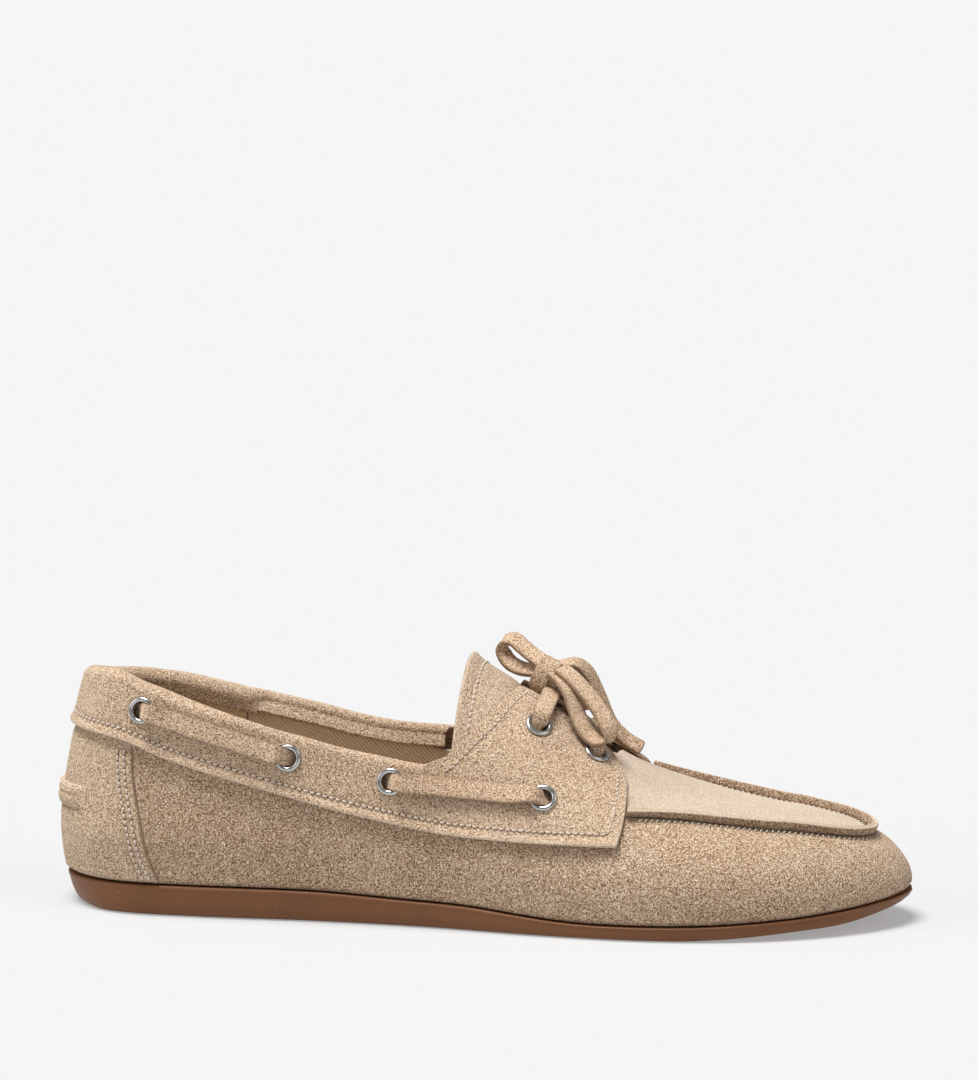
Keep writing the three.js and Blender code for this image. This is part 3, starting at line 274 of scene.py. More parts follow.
    def layer(self, u: Array, v: Array, off: Array, rise: Array = 0.0) -> Array:
        """Point moved out along the normal by off and up the surface by rise."""
        p, n, up = self.frame_at(u, v)
        off, rise = np.broadcast_to(off, n.shape[:-1]), np.broadcast_to(rise, n.shape[:-1])
        return p + n * off[..., None] + up * rise[..., None]

    def crown_point(self, x: Array, y: Array, off: Array) -> Array:
        """Point over a plan position, moved out along the height field's normal by off."""
        e = self.plan_step
        x, y = np.broadcast_arrays(np.asarray(x, float), np.asarray(y, float))

        def z(a: Array, b: Array) -> Array:
            """Height of the last over a plan position."""
            return self.point(*self.uv_at_plan(a, b))[..., 2]
        n = unit(np.stack([(z(x - e, y) - z(x + e, y)) / (2 * e), (z(x, y - e) - z(x, y + e)) / (2 * e),
                           np.ones(x.shape)], -1))
        return np.stack([x, y, z(x, y)], -1) + n * np.broadcast_to(off, x.shape)[..., None]


LAST = Last()


# ---- meshes ----------------------------------------------------------------------------------
@dataclass
class Skin:
    """Points and faces of one piece in millimetres, with a flat position and a mask for each point."""

    points: Array
    faces: List
    uv: Optional[Array] = None
    edge: Optional[Array] = None

    def merged(self, other: "Skin") -> "Skin":
        """This skin and another as one."""
        shifted = [[i + len(self.points) for i in f] for f in other.faces]
        uv = None if self.uv is None or other.uv is None else np.vstack([self.uv, other.uv])
        edge = None if self.edge is None or other.edge is None else np.r_[self.edge, other.edge]
        return Skin(np.vstack([self.points, other.points]), self.faces + shifted, uv, edge)


def grid_faces(rows: int, cols: int, wrap_rows: bool = False, wrap_cols: bool = False) -> Array:
    """Quads of a grid of points, rows first; a wrapped direction joins its end to its start."""
    i, j = np.meshgrid(np.arange(rows if wrap_rows else rows - 1),
                       np.arange(cols if wrap_cols else cols - 1), indexing="ij")
    i2, j2 = (i + 1) % rows, (j + 1) % cols
    return np.stack([i * cols + j, i2 * cols + j, i2 * cols + j2, i * cols + j2], -1).reshape(-1, 4)


def tube_faces(rows: int, cols: int) -> List:
    """Faces of a stack of closed rings with a flat end at both ends."""
    ends = [list(range(cols))[::-1], list(range((rows - 1) * cols, rows * cols))]
    return grid_faces(rows, cols, False, True).tolist() + ends


def shell(outer: Array, inner: Array, full: float, steps: int = 3, uv: Optional[Array] = None) -> Skin:
    """Two facing grids closed by a half-round rim, as the cut edge of a hide.

    The rim runs from the outer to the inner face along half an ellipse: its height is the wall's and
    its depth is full times half the wall, away from the last row of points.

    Args:
        outer: Outer face, rows by columns by 3.
        inner: Inner face, the same shape.
        full: Roundness of the cut edge.
        steps: Points across the rim.
        uv: Flat position of each outer point.

    Returns:
        The closed skin, its edge mask 1 on the rims.
    """
    rows, cols = outer.shape[:2]
    angle = np.pi * np.arange(1, steps + 1) / (steps + 1)

    def rim(o: Array, i: Array, before: Array) -> Array:
        """Half-round strip between one edge of the outer face and that of the inner."""
        mid, half = (o + i) / 2, (o - i) / 2
        out = unit(o - before) * (np.linalg.norm(half, axis=-1, keepdims=True) * full)
        return mid[:, None] + half[:, None] * np.cos(angle)[:, None] + out[:, None] * np.sin(angle)[:, None]

    section = np.concatenate([outer, rim(outer[:, -1], inner[:, -1], outer[:, -2]), inner[:, ::-1],
                              rim(inner[:, 0], outer[:, 0], inner[:, 1])], 1)
    near_rim = 0.8  # mask on the last points before a rim
    mask = np.r_[np.zeros(cols), np.ones(steps), np.zeros(cols), np.ones(steps)]
    mask[[0, cols - 1, cols + steps, 2 * cols + steps - 1]] = near_rim
    edge = np.tile(mask, (rows, 1))
    flat = None
    if uv is not None:
        flat = np.concatenate([uv, np.repeat(uv[:, -1:], steps, 1), uv[:, ::-1],
                               np.repeat(uv[:, :1], steps, 1)], 1)
    turn = np.pi / 2 * np.arange(1, steps + 1) / (steps + 0.4)
    for at, nxt in ((0, 1), (-1, -2)):
        o, i = outer[at], inner[at]
        mid = (o + i) / 2
        thick = np.linalg.norm(o - i, axis=-1).mean() / 2 * full
        centre = np.concatenate([mid, np.repeat(mid[-1:], steps, 0), mid[::-1], np.repeat(mid[:1], steps, 0)])
        out = unit(section[at] - section[nxt]) * thick
        base = section[at]
        extra = np.stack([centre + (base - centre) * np.cos(t) + out * np.sin(t) for t in turn])
        ones = np.ones((steps, edge.shape[1]))
        edge[at] = np.maximum(edge[at], near_rim)
        copies = None if flat is None else np.repeat(flat[at][None], steps, 0)
        first = at == 0
        section = np.concatenate([extra[::-1], section] if first else [section, extra])
        edge = np.concatenate([ones, edge] if first else [edge, ones])
        if flat is not None:
            flat = np.concatenate([copies, flat] if first else [flat, copies])
    n, c = section.shape[:2]
    faces = grid_faces(n, c, False, True).tolist()
    j = np.arange(cols - 1)
    mate = 2 * cols + steps - 1 - j
    for base, turned in ((0, True), ((n - 1) * c, False)):
        strip = np.stack([base + j, base + j + 1, base + mate - 1, base + mate], -1)
        faces += (strip[:, ::-1] if turned else strip).tolist()
        top = list(range(base + cols - 1, base + cols + steps + 1))
        low = [base] + list(range(base + 2 * cols + steps - 1, base + c))[::-1]
        faces += [top[::-1] if turned else top, low if turned else low[::-1]]
    flat = None if flat is None else flat.reshape(-1, 2)
    return Skin(section.reshape(-1, 3), faces, flat, edge.reshape(-1))


def swept(path: Array, side: Array, half_w: Array, half_t: Array, count: int, power: float) -> Skin:
    """A rounded strap carried along a path.

    Its section is a superellipse of the two half sizes, whose exponent is power; each end closes with
    three shrinking rings, as a cut and worn end does.

    Args:
        path: Centre line.
        side: Width direction at each point.
        half_w: Half widths.
        half_t: Half thicknesses.
        count: Points round the section.
        power: 1 for an ellipse, smaller for a squarer strap.

    Returns:
        The closed skin, with u along the strap and v round it, in millimetres.
    """
    t = unit(np.gradient(path, axis=0))
    b = unit(side - t * np.sum(side * t, -1, keepdims=True))
    h = np.cross(t, b)
    half_w, half_t = np.broadcast_to(half_w, len(path)), np.broadcast_to(half_t, len(path))
    a = TAU * (np.arange(count) + 0.5) / count
    c, s = (np.sign(q) * np.abs(q) ** power for q in (np.cos(a), np.sin(a)))
    ring = b[:, None] * (half_w[:, None] * c)[..., None] + h[:, None] * (half_t[:, None] * s)[..., None]
    turn = np.radians([78.0, 52.0, 26.0])
    cap = 0.6  # how far an end bulges, as a share of the half thickness
    start = [path[0] + ring[0] * np.cos(q) ** 0.7 - t[0] * half_t[0] * cap * np.sin(q) for q in turn]
    stop = [path[-1] + ring[-1] * np.cos(q) ** 0.7 + t[-1] * half_t[-1] * cap * np.sin(q) for q in turn[::-1]]
    body = np.concatenate([np.stack(start), path[:, None] + ring, np.stack(stop)])
    n = len(body)
    walk = travelled(path)
    walk = np.r_[[-0.6, -0.4, -0.2], walk, walk[-1] + np.array([0.2, 0.4, 0.6])]
    # Mask of the narrow edges and the ends, for a finish's rim colour; on the lace that colour is partly
    # painted shade.
    rim = np.abs(c) ** 6
    wide = np.r_[[half_w[0]] * 3, half_w, [half_w[-1]] * 3]
    uv = np.stack([np.repeat(walk[:, None], count, 1), wide[:, None] * np.cos(a)[None]], -1).reshape(-1, 2)
    mask = np.tile(rim, (n, 1))
    mask[:3], mask[-3:] = 1, 1
    return Skin(body.reshape(-1, 3), tube_faces(n, count), uv, mask.reshape(-1))


def placed(name: str, data: bpy.types.ID) -> bpy.types.Object:
    """A new object of the data, linked to the scene."""
    obj = bpy.data.objects.new(name, data)
    bpy.context.scene.collection.objects.link(obj)
    return obj


def plain_mesh(name: str, points: Array, faces: List) -> bpy.types.Mesh:
    """A new mesh in the frame from drawn millimetres."""
    mesh = bpy.data.meshes.new(name)
    mesh.from_pydata(((points + SHIFT) / MM).tolist(), [], faces)
    return mesh


def write_piece(name: str, skin: Skin, finish: "Finish", node: Optional[str] = None,
                body: Optional[str] = "shoe") -> bpy.types.Object:
    """Writes a skin as a named object in the frame, dressed, riding on its body.

    Args:
        name: Name of the piece.
        skin: Points and faces in drawn millimetres.
        finish: What covers it.
        node: CAD node it stands for.
        body: CAD body that carries it, or None to leave it without one.

    Returns:
        The new object.
    """
    co, faces = (skin.points + SHIFT) / MM, skin.faces
    tri = np.array([[f[0], f[k], f[k + 1]] for f in faces for k in range(1, len(f) - 1)])
    a, b, c = co[tri[:, 0]], co[tri[:, 1]], co[tri[:, 2]]
    if np.einsum("ij,ij->i", a, np.cross(b, c)).sum() < 0:
        faces = [f[::-1] for f in faces]
    mesh = plain_mesh(name, skin.points, faces)
    if skin.uv is not None:
        layer = mesh.uv_layers.new(name="flat")
        index = np.empty(len(mesh.loops), np.int32)
        mesh.loops.foreach_get("vertex_index", index)
        layer.data.foreach_set("uv", (skin.uv[index] / MM).astype(np.float32).ravel())
    edge = np.zeros(len(co)) if skin.edge is None else skin.edge
    mesh.attributes.new("edge", "FLOAT", "POINT").data.foreach_set("value", edge.astype(np.float32))
    mesh.polygons.foreach_set("use_smooth", np.ones(len(mesh.polygons), bool))
    mesh.update()
    mesh.materials.append(finish.material())
    obj = placed(name, mesh)
    if body is not None:
        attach(obj, body)
    if node is not None:
        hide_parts(node)
    LOG.info("%s: %d points, %d faces", name, len(co), len(faces))
    return obj


# ---- shader pieces ---------------------------------------------------------------------------
class Tree:
    """A node tree being wired."""

    def __init__(self, tree: bpy.types.NodeTree) -> None:
        """Keeps the tree."""
        self.tree = tree

    def feed(self, socket: Socket, value: Union[Number, Shade]) -> None:
        """Links a socket to another one, or sets its number or colour."""
        if isinstance(value, Socket):
            self.tree.links.new(value, socket)
        elif socket.type == "RGBA":
            socket.default_value = (*value[:3], 1.0)
        else:
            socket.default_value = value

    def put(self, node: bpy.types.Node, **values) -> bpy.types.Node:
        """Sets a node's properties and feeds its sockets by their names."""
        for key, value in values.items():
            if hasattr(node, key):
                setattr(node, key, value)
            else:
                self.feed(node.inputs[key.replace("_", " ")], value)
        return node

    def add(self, kind: str, **values) -> bpy.types.Node:
        """Adds a node with its properties and sockets set."""
        return self.put(self.tree.nodes.new(kind), **values)

    def math(self, operation: str, a: Number, b: Number = 0.0, c: Number = 0.0,
             clamp: bool = False) -> Socket:
        """One sum; each operand is a number or a socket."""
        node = self.add("ShaderNodeMath", operation=operation, use_clamp=clamp)
        for socket, value in zip(node.inputs, (a, b, c)):
            self.feed(socket, value)
        return node.outputs[0]

    def mix(self, factor: Number, a: Shade, b: Shade) -> Socket:
        """Mixes two colours; each is a colour or a socket."""
        node = self.add("ShaderNodeMix", data_type="RGBA", clamp_factor=True)
        for i, value in ((0, factor), (6, a), (7, b)):
            self.feed(node.inputs[i], value)
        return node.outputs[2]

    def here(self) -> Socket:
        """Position in the piece's own coordinates, in metres."""
        return self.add("ShaderNodeTexCoord").outputs["Object"]

    def flat(self) -> Sequence[Socket]:
        """Position along and across the piece's flat map, in metres."""
        laid = self.add("ShaderNodeUVMap", uv_map="flat").outputs[0]
        return self.add("ShaderNodeSeparateXYZ", Vector=laid).outputs[:2]

    def noise(self, vector: Socket, scale: float, detail: float = 2.0, rough: float = 0.5) -> Socket:
        """Noise value at a vector socket."""
        return self.add("ShaderNodeTexNoise", Vector=vector, Scale=scale, Detail=detail,
                        Roughness=rough).outputs[0]

    def bump(self, height: Socket, strength: float, depth: float) -> Socket:
        """Normal bent by a height of the given depth in metres."""
        return self.add("ShaderNodeBump", Height=height, Strength=strength, Distance=depth).outputs[0]


def shade(colour: Colour, share: float) -> Colour:
    """A colour made darker or lighter, held at white."""
    return tuple(min(c * share, 1) for c in colour)


def nap_group() -> bpy.types.NodeTree:
    """Brushed suede: fine mottled fibres, patches brushed lighter or darker, and a rim colour on the edges:
    worn pale on most pieces, darker cut edges with painted shade on the lace and heel cap, a painted
    highlight on the ridge's crest.

    Returns:
        The group, with colour, roughness and height out.
    """
    name, f, c = "suede_nap", "NodeSocketFloat", "NodeSocketColor"
    if name in bpy.data.node_groups:
        return bpy.data.node_groups[name]
    group = bpy.data.node_groups.new(name, "ShaderNodeTree")
    for label, kind in (("Base", c), ("Contrast", f), ("Grain", f), ("Edge", f), ("Rim", c)):
        group.interface.new_socket(name=label, in_out="INPUT", socket_type=kind)
    for label, kind in (("Colour", c), ("Roughness", f), ("Height", f)):
        group.interface.new_socket(name=label, in_out="OUTPUT", socket_type=kind)
    t = Tree(group)
    given, at = t.add("NodeGroupInput").outputs, t.here()
    speck = t.noise(at, 3500.0, 1.0, 0.6)
    fibre = t.noise(at, 1900.0, 2.0, 0.6)
    bloom = t.noise(at, 120.0, 3.0, 0.6)
    brushed = t.noise(at, 26.0, 2.0, 0.5)
    fine = t.math("MULTIPLY_ADD", t.math("SUBTRACT", speck, 0.5), 1.5, t.math("SUBTRACT", fibre, 0.5))
    broad = t.math("MULTIPLY_ADD", t.math("SUBTRACT", bloom, 0.5), 0.16,
                   t.math("MULTIPLY", t.math("SUBTRACT", brushed, 0.5), 0.4))
    level = t.math("MULTIPLY_ADD", t.math("MULTIPLY", fine, given["Contrast"]), given["Grain"], broad)
    dark = t.mix(t.math("MULTIPLY", level, -1.9, clamp=True), given["Base"], (0.13, 0.072, 0.036))
    pale = t.mix(t.math("MULTIPLY", level, 1.15, clamp=True), dark, (0.86, 0.72, 0.57))
    t.add("NodeGroupOutput", Colour=t.mix(given["Edge"], pale, given["Rim"]),
          Roughness=t.math("MULTIPLY_ADD", fibre, -0.12, 1.0),
          Height=t.math("MULTIPLY_ADD", speck, 0.6, fibre))
    return group


@dataclass(frozen=True)
class Finish:
    """A finish; each kind wires its own material once."""

    name: str = "finish"

    def wire(self, t: Tree, shader: bpy.types.Node) -> None:
        """Wires the nodes in front of the shader."""

    def material(self) -> bpy.types.Material:
        """The material, made at its first use."""
        if self.name in bpy.data.materials:
            return bpy.data.materials[self.name]
        made = bpy.data.materials.new(self.name)
        made.use_nodes = True
        made.node_tree.nodes.clear()
        t = Tree(made.node_tree)
        shader = t.add("ShaderNodeBsdfPrincipled")
        t.add("ShaderNodeOutputMaterial", Surface=shader.outputs[0])
        self.wire(t, shader)
        return made


@dataclass(frozen=True)
class Suede(Finish):
    """Brushed suede of one shade."""

    base: Colour = (0.52, 0.385, 0.27)
    contrast: float = 2.15
    rim: Colour = (0.72, 0.58, 0.44)  # of the cut edges
    rim_share: float = 0.25
    sheen: float = 0.1
    depth: float = 0.0003  # of the nap, in metres

    def wire(self, t: Tree, shader: bpy.types.Node) -> None:
        """Nap group into colour, roughness and bump; a soft pale sheen at grazing angles."""
        edge = t.add("ShaderNodeAttribute", attribute_name="edge").outputs["Fac"]
        nap = t.add("ShaderNodeGroup", node_tree=nap_group()).outputs
        t.put(nap[0].node, Base=self.base, Contrast=self.contrast, Grain=1.0, Rim=self.rim,
              Edge=t.math("MULTIPLY", edge, self.rim_share))
        t.put(shader, Base_Color=nap["Colour"], Roughness=nap["Roughness"],
              Normal=t.bump(nap["Height"], 0.75, self.depth), Sheen_Weight=self.sheen, Sheen_Roughness=0.55,
              Sheen_Tint=(1.0, 0.93, 0.85), Specular_IOR_Level=0.12)


@dataclass(frozen=True)
class Woven(Finish):
    """A finish whose waves are counted on the piece's flat map."""

    radians: float = 6283.0  # in a metre of waves 1 mm long


@dataclass(frozen=True)
class Twill(Woven):
    """Cotton twill: slanted ribs with finer threads across them."""

    base: Colour = (0.86, 0.64, 0.46)
    rib: float = 1.0  # mm between ribs

    def wire(self, t: Tree, shader: bpy.types.Node) -> None:
        """Ribs as a sine of the slanted distance, threads as a finer one across, both into bump."""
        x, y = t.flat()
        slant = t.math("ADD", t.math("MULTIPLY", x, 0.72), t.math("MULTIPLY", y, -0.69))
        rib = t.math("SINE", t.math("MULTIPLY", slant, self.radians / self.rib))
        thread = t.math("SINE", t.math("MULTIPLY", y, self.radians / (self.rib * 0.62)))
        height = t.math("MULTIPLY_ADD", thread, 0.3, rib)
        fuzz = t.math("MULTIPLY_ADD", t.noise(t.here(), 900.0, 2.0, 0.6), 0.7, 0.15)
        level = t.math("MULTIPLY_ADD", height, 0.2, fuzz, clamp=True)
        t.put(shader, Base_Color=t.mix(level, shade(self.base, 0.66), shade(self.base, 1.28)),
              Normal=t.bump(height, 0.8, 0.00016), Roughness=0.92, Sheen_Weight=0.2)


@dataclass(frozen=True)
class Thread(Woven):
    """Twisted sewing thread."""

    base: Colour = (0.78, 0.68, 0.57)
    ply: float = 0.42  # mm between plies

    def wire(self, t: Tree, shader: bpy.types.Node) -> None:
        """Slanted plies over the stitch, pale on top and darker between as painted shade in the grooves."""
        ply = t.math("SINE", t.math("MULTIPLY", t.math("ADD", *t.flat()), self.radians / self.ply))
        colour = t.mix(t.math("MULTIPLY_ADD", ply, 0.5, 0.5), shade(self.base, 0.7), self.base)
        t.put(shader, Base_Color=colour, Normal=t.bump(ply, 0.5, 0.0001), Roughness=0.7)


@dataclass(frozen=True)
class Gum(Finish):
    """Moulded gum rubber with faint flow clouds, pale dust specks and scuffs."""

    base: Colour = (0.145, 0.058, 0.021)

    def wire(self, t: Tree, shader: bpy.types.Node) -> None:
        """Clouded colour, dusty specks, and a roughness that varies over the surface."""
        at = t.here()
        cloud, fine = t.noise(at, 60.0, 3.0, 0.6), t.noise(at, 900.0, 2.0, 0.5)
        colour = t.mix(t.math("MULTIPLY", cloud, 0.8), self.base, shade(self.base, 1.55))
        speck = t.math("GREATER_THAN", t.noise(at, 1500.0, 0.0), 0.84)
        t.put(shader, Base_Color=t.mix(t.math("MULTIPLY", speck, 0.3), colour, (0.55, 0.42, 0.3)),
              Roughness=t.math("MULTIPLY_ADD", fine, 0.16, t.math("MULTIPLY_ADD", cloud, 0.2, 0.3)),
              Normal=t.bump(t.math("MULTIPLY_ADD", cloud, 0.5, fine), 0.25, 0.00012),
              Subsurface_Weight=0.06, Subsurface_Radius=(0.004, 0.002, 0.001), Specular_IOR_Level=0.3)


@dataclass(frozen=True)
class Nickel(Finish):
    """Plated brass: bright, faintly brushed."""

    def wire(self, t: Tree, shader: bpy.types.Node) -> None:
        """Metal whose roughness follows fine handling marks."""
        at = t.here()
        t.put(shader, Base_Color=t.mix(t.noise(at, 300.0), (0.42, 0.42, 0.41), (0.64, 0.64, 0.64)),
              Roughness=t.math("MULTIPLY_ADD", t.noise(at, 1400.0, 2.0, 0.6), 0.16, 0.14), Metallic=1.0)


@dataclass(frozen=True)
class Fibreboard(Finish):
    """Pressed fibre or foam that is sealed inside the shoe."""

    base: Colour = (0.5, 0.38, 0.26)

    def wire(self, t: Tree, shader: bpy.types.Node) -> None:
        """Coarse fibres in colour and bump."""
        fibre = t.noise(t.here(), 500.0, 4.0, 0.7)
        t.put(shader, Base_Color=t.mix(fibre, shade(self.base, 0.6), shade(self.base, 1.3)),
              Normal=t.bump(fibre, 0.5, 0.0002), Roughness=0.95)


# Vamp base: a darker, more saturated copy of the suede, painted shade of the side walls that face away from
# the top light.
SUEDE_VAMP_SHADED = Suede("vamp_nap", base=(0.405, 0.258, 0.144), contrast=2.7)
SUEDE_BAND = Suede("band_nap", base=(0.545, 0.378, 0.242), contrast=2.3, rim_share=0.4)
# Heel cap rim: its cut edges are dark brown, partly the edge's own colour and partly painted shade along the
# lap over the vamp.
SUEDE_CAP_EDGE_SHADE = Suede("cap_nap_edge_shade", base=(0.54, 0.378, 0.238), contrast=2.6, rim=(0.2, 0.11, 0.06),
                  rim_share=0.6)
# Plug base: a paler, greyer copy of the suede with fainter grain, painted light on the top-facing plug.
SUEDE_CROWN_LIT = Suede("crown_nap", base=(0.575, 0.465, 0.36), contrast=0.85)
SUEDE_TONGUE = Suede("tongue_nap", base=(0.52, 0.375, 0.26), contrast=2.0)
# Lace rim: its narrow edges are dark brown, partly the cut edge's own colour and partly painted shade under
# the strap.
SUEDE_LACE_EDGE_SHADE = Suede("thong_nap", base=(0.62, 0.42, 0.265), contrast=2.3, rim=(0.2, 0.12, 0.07),
                   rim_share=0.75)
# Ridge: a dark copy of the suede as painted shade on its sides, and a pale rim colour on its crest as a
# painted highlight.
SUEDE_RIDGE_SHADE_AND_HIGHLIGHT = Suede("ridge_nap", base=(0.27, 0.165, 0.095), contrast=1.9, rim=(0.75, 0.6, 0.46),
                    rim_share=0.6)
SUEDE_INSIDE = Suede("inside_nap", base=(0.47, 0.32, 0.2), contrast=2.2)
TWILL = Twill("cotton_ribs")
GUM = Gum("moulded_gum")
NICKEL = Nickel("bright_plate")
THREAD_PALE = Thread("pale_twist", base=(0.8, 0.68, 0.56))
# Dark thread: the heel tab's lower row, and the dark dashes in the needle holes, which are painted shade of
# the holes.
THREAD_DARK_AND_HOLE_SHADE = Thread("dark_twist", base=(0.15, 0.09, 0.06))
BOARD = Fibreboard("pressed_fibre")
FOAM = Fibreboard("pale_foam", base=(0.75, 0.7, 0.6))


# ---- stitches --------------------------------------------------------------------------------
@dataclass
class StitchRow:
    """One row of thread stitches: short rounded dashes that rise out of the hide and dive back."""

    pitch: float = 2.05
    length: float = 1.45
    width: float = 0.72
    height: float = 0.42
    between: bool = False  # the needle holes between the dashes
    slant: float = 0.0  # turn of each stitch about the normal, in radians
    sunk: float = 0.12  # how deep the middle line of a flat dash lies

    def skin(self, path: Array, normals: Array) -> Skin:
        """Dashes along a path.

        Each dash is a tube of seven rings; its half width shrinks as the fourth root to both ends and
        its middle stands above the hide by a parabola of its length.

        Args:
            path: Points of the row on the surface.
            normals: Outward normal at each point.

        Returns:
            All the dashes as one skin.
        """
        line = spaced(np.hstack([path, normals]), self.pitch)
        if self.between:
            mid, n, t = line[1:-1, :3], unit(line[1:-1, 3:]), unit(line[2:, :3] - line[:-2, :3])
        else:
            mid, n = (line[1:, :3] + line[:-1, :3]) / 2, unit(line[1:, 3:] + line[:-1, 3:])
            t = unit(line[1:, :3] - line[:-1, :3])
        t = unit(t - n * np.sum(t * n, -1, keepdims=True))
        b = np.cross(n, t)
        turned = np.cos(self.slant), np.sin(self.slant)
        t, b = t * turned[0] + b * turned[1], b * turned[0] - t * turned[1]
        s = np.array([-1, -0.86, -0.5, 0, 0.5, 0.86, 1.0])
        rings, sides = len(s), 6
        a = TAU * np.arange(sides) / sides
        r = np.maximum(1 - s ** 4, 0.05) ** 0.5
        along = np.repeat((s * self.length / 2)[:, None], sides, 1)
        across = self.width / 2 * r[:, None] * np.cos(a)
        rise = self.height * (1 - s[:, None] ** 2) - self.sunk + self.width / 2 * r[:, None] * np.sin(a)
        p = (mid[:, None, None] + t[:, None, None] * along[..., None] + b[:, None, None] * across[..., None]
             + n[:, None, None] * rise[..., None])
        first = np.arange(len(mid))[:, None] * rings * sides
        quads = (first[..., None] + grid_faces(rings, sides, False, True)).reshape(-1, 4).tolist()
        ends = (first + np.arange(sides)[::-1]).tolist()
        ends += (first + (rings - 1) * sides + np.arange(sides)).tolist()
        uv = np.stack([along, across + rise], -1)
        return Skin(p.reshape(-1, 3), quads + ends, np.tile(uv.reshape(-1, 2), (len(mid), 1)))


# ---- edge lines of the upper -------------------------------------------------------------------
@dataclass
class Pattern:
    """The cutting lines of the upper, shared by the pieces that meet on them."""

    saddle_x: float = 175.0
    lacing_gap: float = 8.0
    throat_x: float = 117.5
    suede: float = 1.3
    band_in: float = 0.3
    collar_r: float = 3.6
    roll_r: float = 2.4
    throat_end: float = 141.0
    top_lateral: Tuple = ((0, 72), (8, 74), (20, 74.3), (32, 70.3), (41, 67), (49, 64.2), (60, 60.9),
                          (70, 58), (78, 56.2), (90, 53.4), (103, 51.2), (110, 50), (118, 49.2))
    top_medial: Tuple = ((0, 72), (8, 70), (20, 68.6), (32, 66.5), (42, 64.2), (54, 61.5), (73, 57.7),
                         (85, 55), (97, 53.2), (110, 52.5), (118, 52.3))
    seam_points: Tuple = ((170, -34.3), (178, -32), (190, -28.6), (201.7, -25), (213, -21), (224, -17),
                          (233, -12.8), (240, -8.3), (244.6, -2.8), (246, 2.5), (243.8, 8.5), (238, 13.8),
                          (229, 18.2), (216, 21.2), (200, 23), (184, 24.6), (170, 25.6))

    def __post_init__(self) -> None:
        """Builds the curves of the lines."""
        self.collar_low = table(((0, 55.8), (6, 55.3), (23, 53.4), (39, 47.9), (73, 38.9), (94, 34.1),
                                 (121, 29.5), (137, 28.4), (156, 27.7), (176, 27.1), (200, 27)))
        self.throat = table(((117.5, 0.335), (119.5, 0.355), (122.6, 0.392), (124.3, 0.428), (127.2, 0.481),
                             (130.3, 0.542), (133.9, 0.622), (136.8, 0.725), (139.1, 0.83), (141, 0.9)))
        self.heel_seam_x = table(((9.9, 34.6), (18.3, 31), (28.7, 28.8), (41.6, 26.4), (52, 25.9),
                                  (60, 25.9)))
        top = [(float(LAST.w_of_x(x, Side.MEDIAL)), z) for x, z in self.top_medial[1:][::-1]]
        top += [(float(LAST.w_of_x(x, Side.LATERAL)) if x else 0.0, z) for x, z in self.top_lateral]
        self.top_line = table(top)
        self.seam_knots = walked(self.seam_points)
        q = np.linspace(0, 1, 181)
        u, v = LAST.uv_at_plan(*self.seam(q).T)
        self.seam_v = lambda at: np.interp(at, u, v)

    def seam(self, q: Array) -> Array:
        """Plan line of the moccasin seam, lateral back end to medial back end."""
        return smooth_curve(self.seam_knots, self.seam_points, q)

    def seam_normal(self, q: Array) -> Array:
        """Outward direction of the seam in plan."""
        d = unit(self.seam(np.minimum(q + 0.004, 1)) - self.seam(np.maximum(q - 0.004, 0)))
        return np.stack([d[..., 1], -d[..., 0]], -1)

    def x_of(self, w: Array) -> Array:
        """Length at w."""
        return LAST.outline(w)[..., 0]

    def roll_radius(self, w: Array) -> Array:
        """Radius of the rolled top line: padded round the heel, slimmer along the sides."""
        s = ease(50, 58, self.x_of(w))
        return self.collar_r + (self.roll_r - self.collar_r) * s

    def roll_turn(self, w: Array) -> Array:
        """Quarter turns that the band makes over the top line."""
        return np.maximum(1 - ease(113, 118.5, self.x_of(w)), 0.04)

    def gap_v(self, w: Array, away: float = 0.0) -> Array:
        """v of the line where the flap stops short of the lacing gap."""
        side, u = np.where(w < 0, 1, -1), np.mod(w, 1)
        _, sp, wide, _, zf, zc, n = LAST.section(u)
        across = np.abs(side * (self.lacing_gap + away) - sp[..., 1])
        r = across / wide
        for _ in range(6):
            up = (zc - zf) * np.maximum(1 - r ** n, 0) ** (1 / n)
            r = np.maximum(across - LAST.belly(up, r), 0.5) / wide
        return np.arccos(np.minimum(r, 1) ** (n / 2)) / (np.pi / 2)

    def flap_top(self, w: Array) -> Array:
        """v of the flap's upper edge: the throat at the rear, the lacing gap, a rounded front corner."""
        x = self.x_of(w)
        corner = 0.2 * np.maximum((x - 163) / (self.saddle_x - 163), 0) ** 2.6
        return np.minimum(np.where(x < self.throat_end, self.throat(x), 1), self.gap_v(w)) - corner

    def band_top(self, w: Array) -> Array:
        """v where the flat part of the band ends and its roll starts."""
        x = self.x_of(w)
        z = self.top_line(w) - self.roll_radius(w) * np.sin(self.roll_turn(w) * np.pi / 2)
        return np.where(x >= self.throat_x, self.flap_top(w), LAST.v_of_z(np.mod(w, 1), z))


PATTERN = Pattern()


def stations(*runs: Tuple[float, float, int]) -> Array:
    """u stations round the whole shoe, at the same lengths on both sides, from (start, end, count) runs."""
    xs = np.concatenate([np.linspace(*run) for run in runs])
    return np.r_[0.0, LAST.u_of_x(xs, Side.LATERAL), 0.5, LAST.u_of_x(xs, Side.MEDIAL)[::-1]]


def waves(x: Array, y: Array, size: float, seed: float) -> Array:
    """Gentle unevenness: three crossing sines of millimetre positions, at most one high."""
    return (np.sin(x / size + seed) * np.cos(y / size * 1.3 + 2 * seed)
            + 0.6 * np.sin((x + y) / size * 2.1 + seed)
            + 0.4 * np.cos((x - 1.7 * y) / size * 3.3 + 3 * seed)) / 2


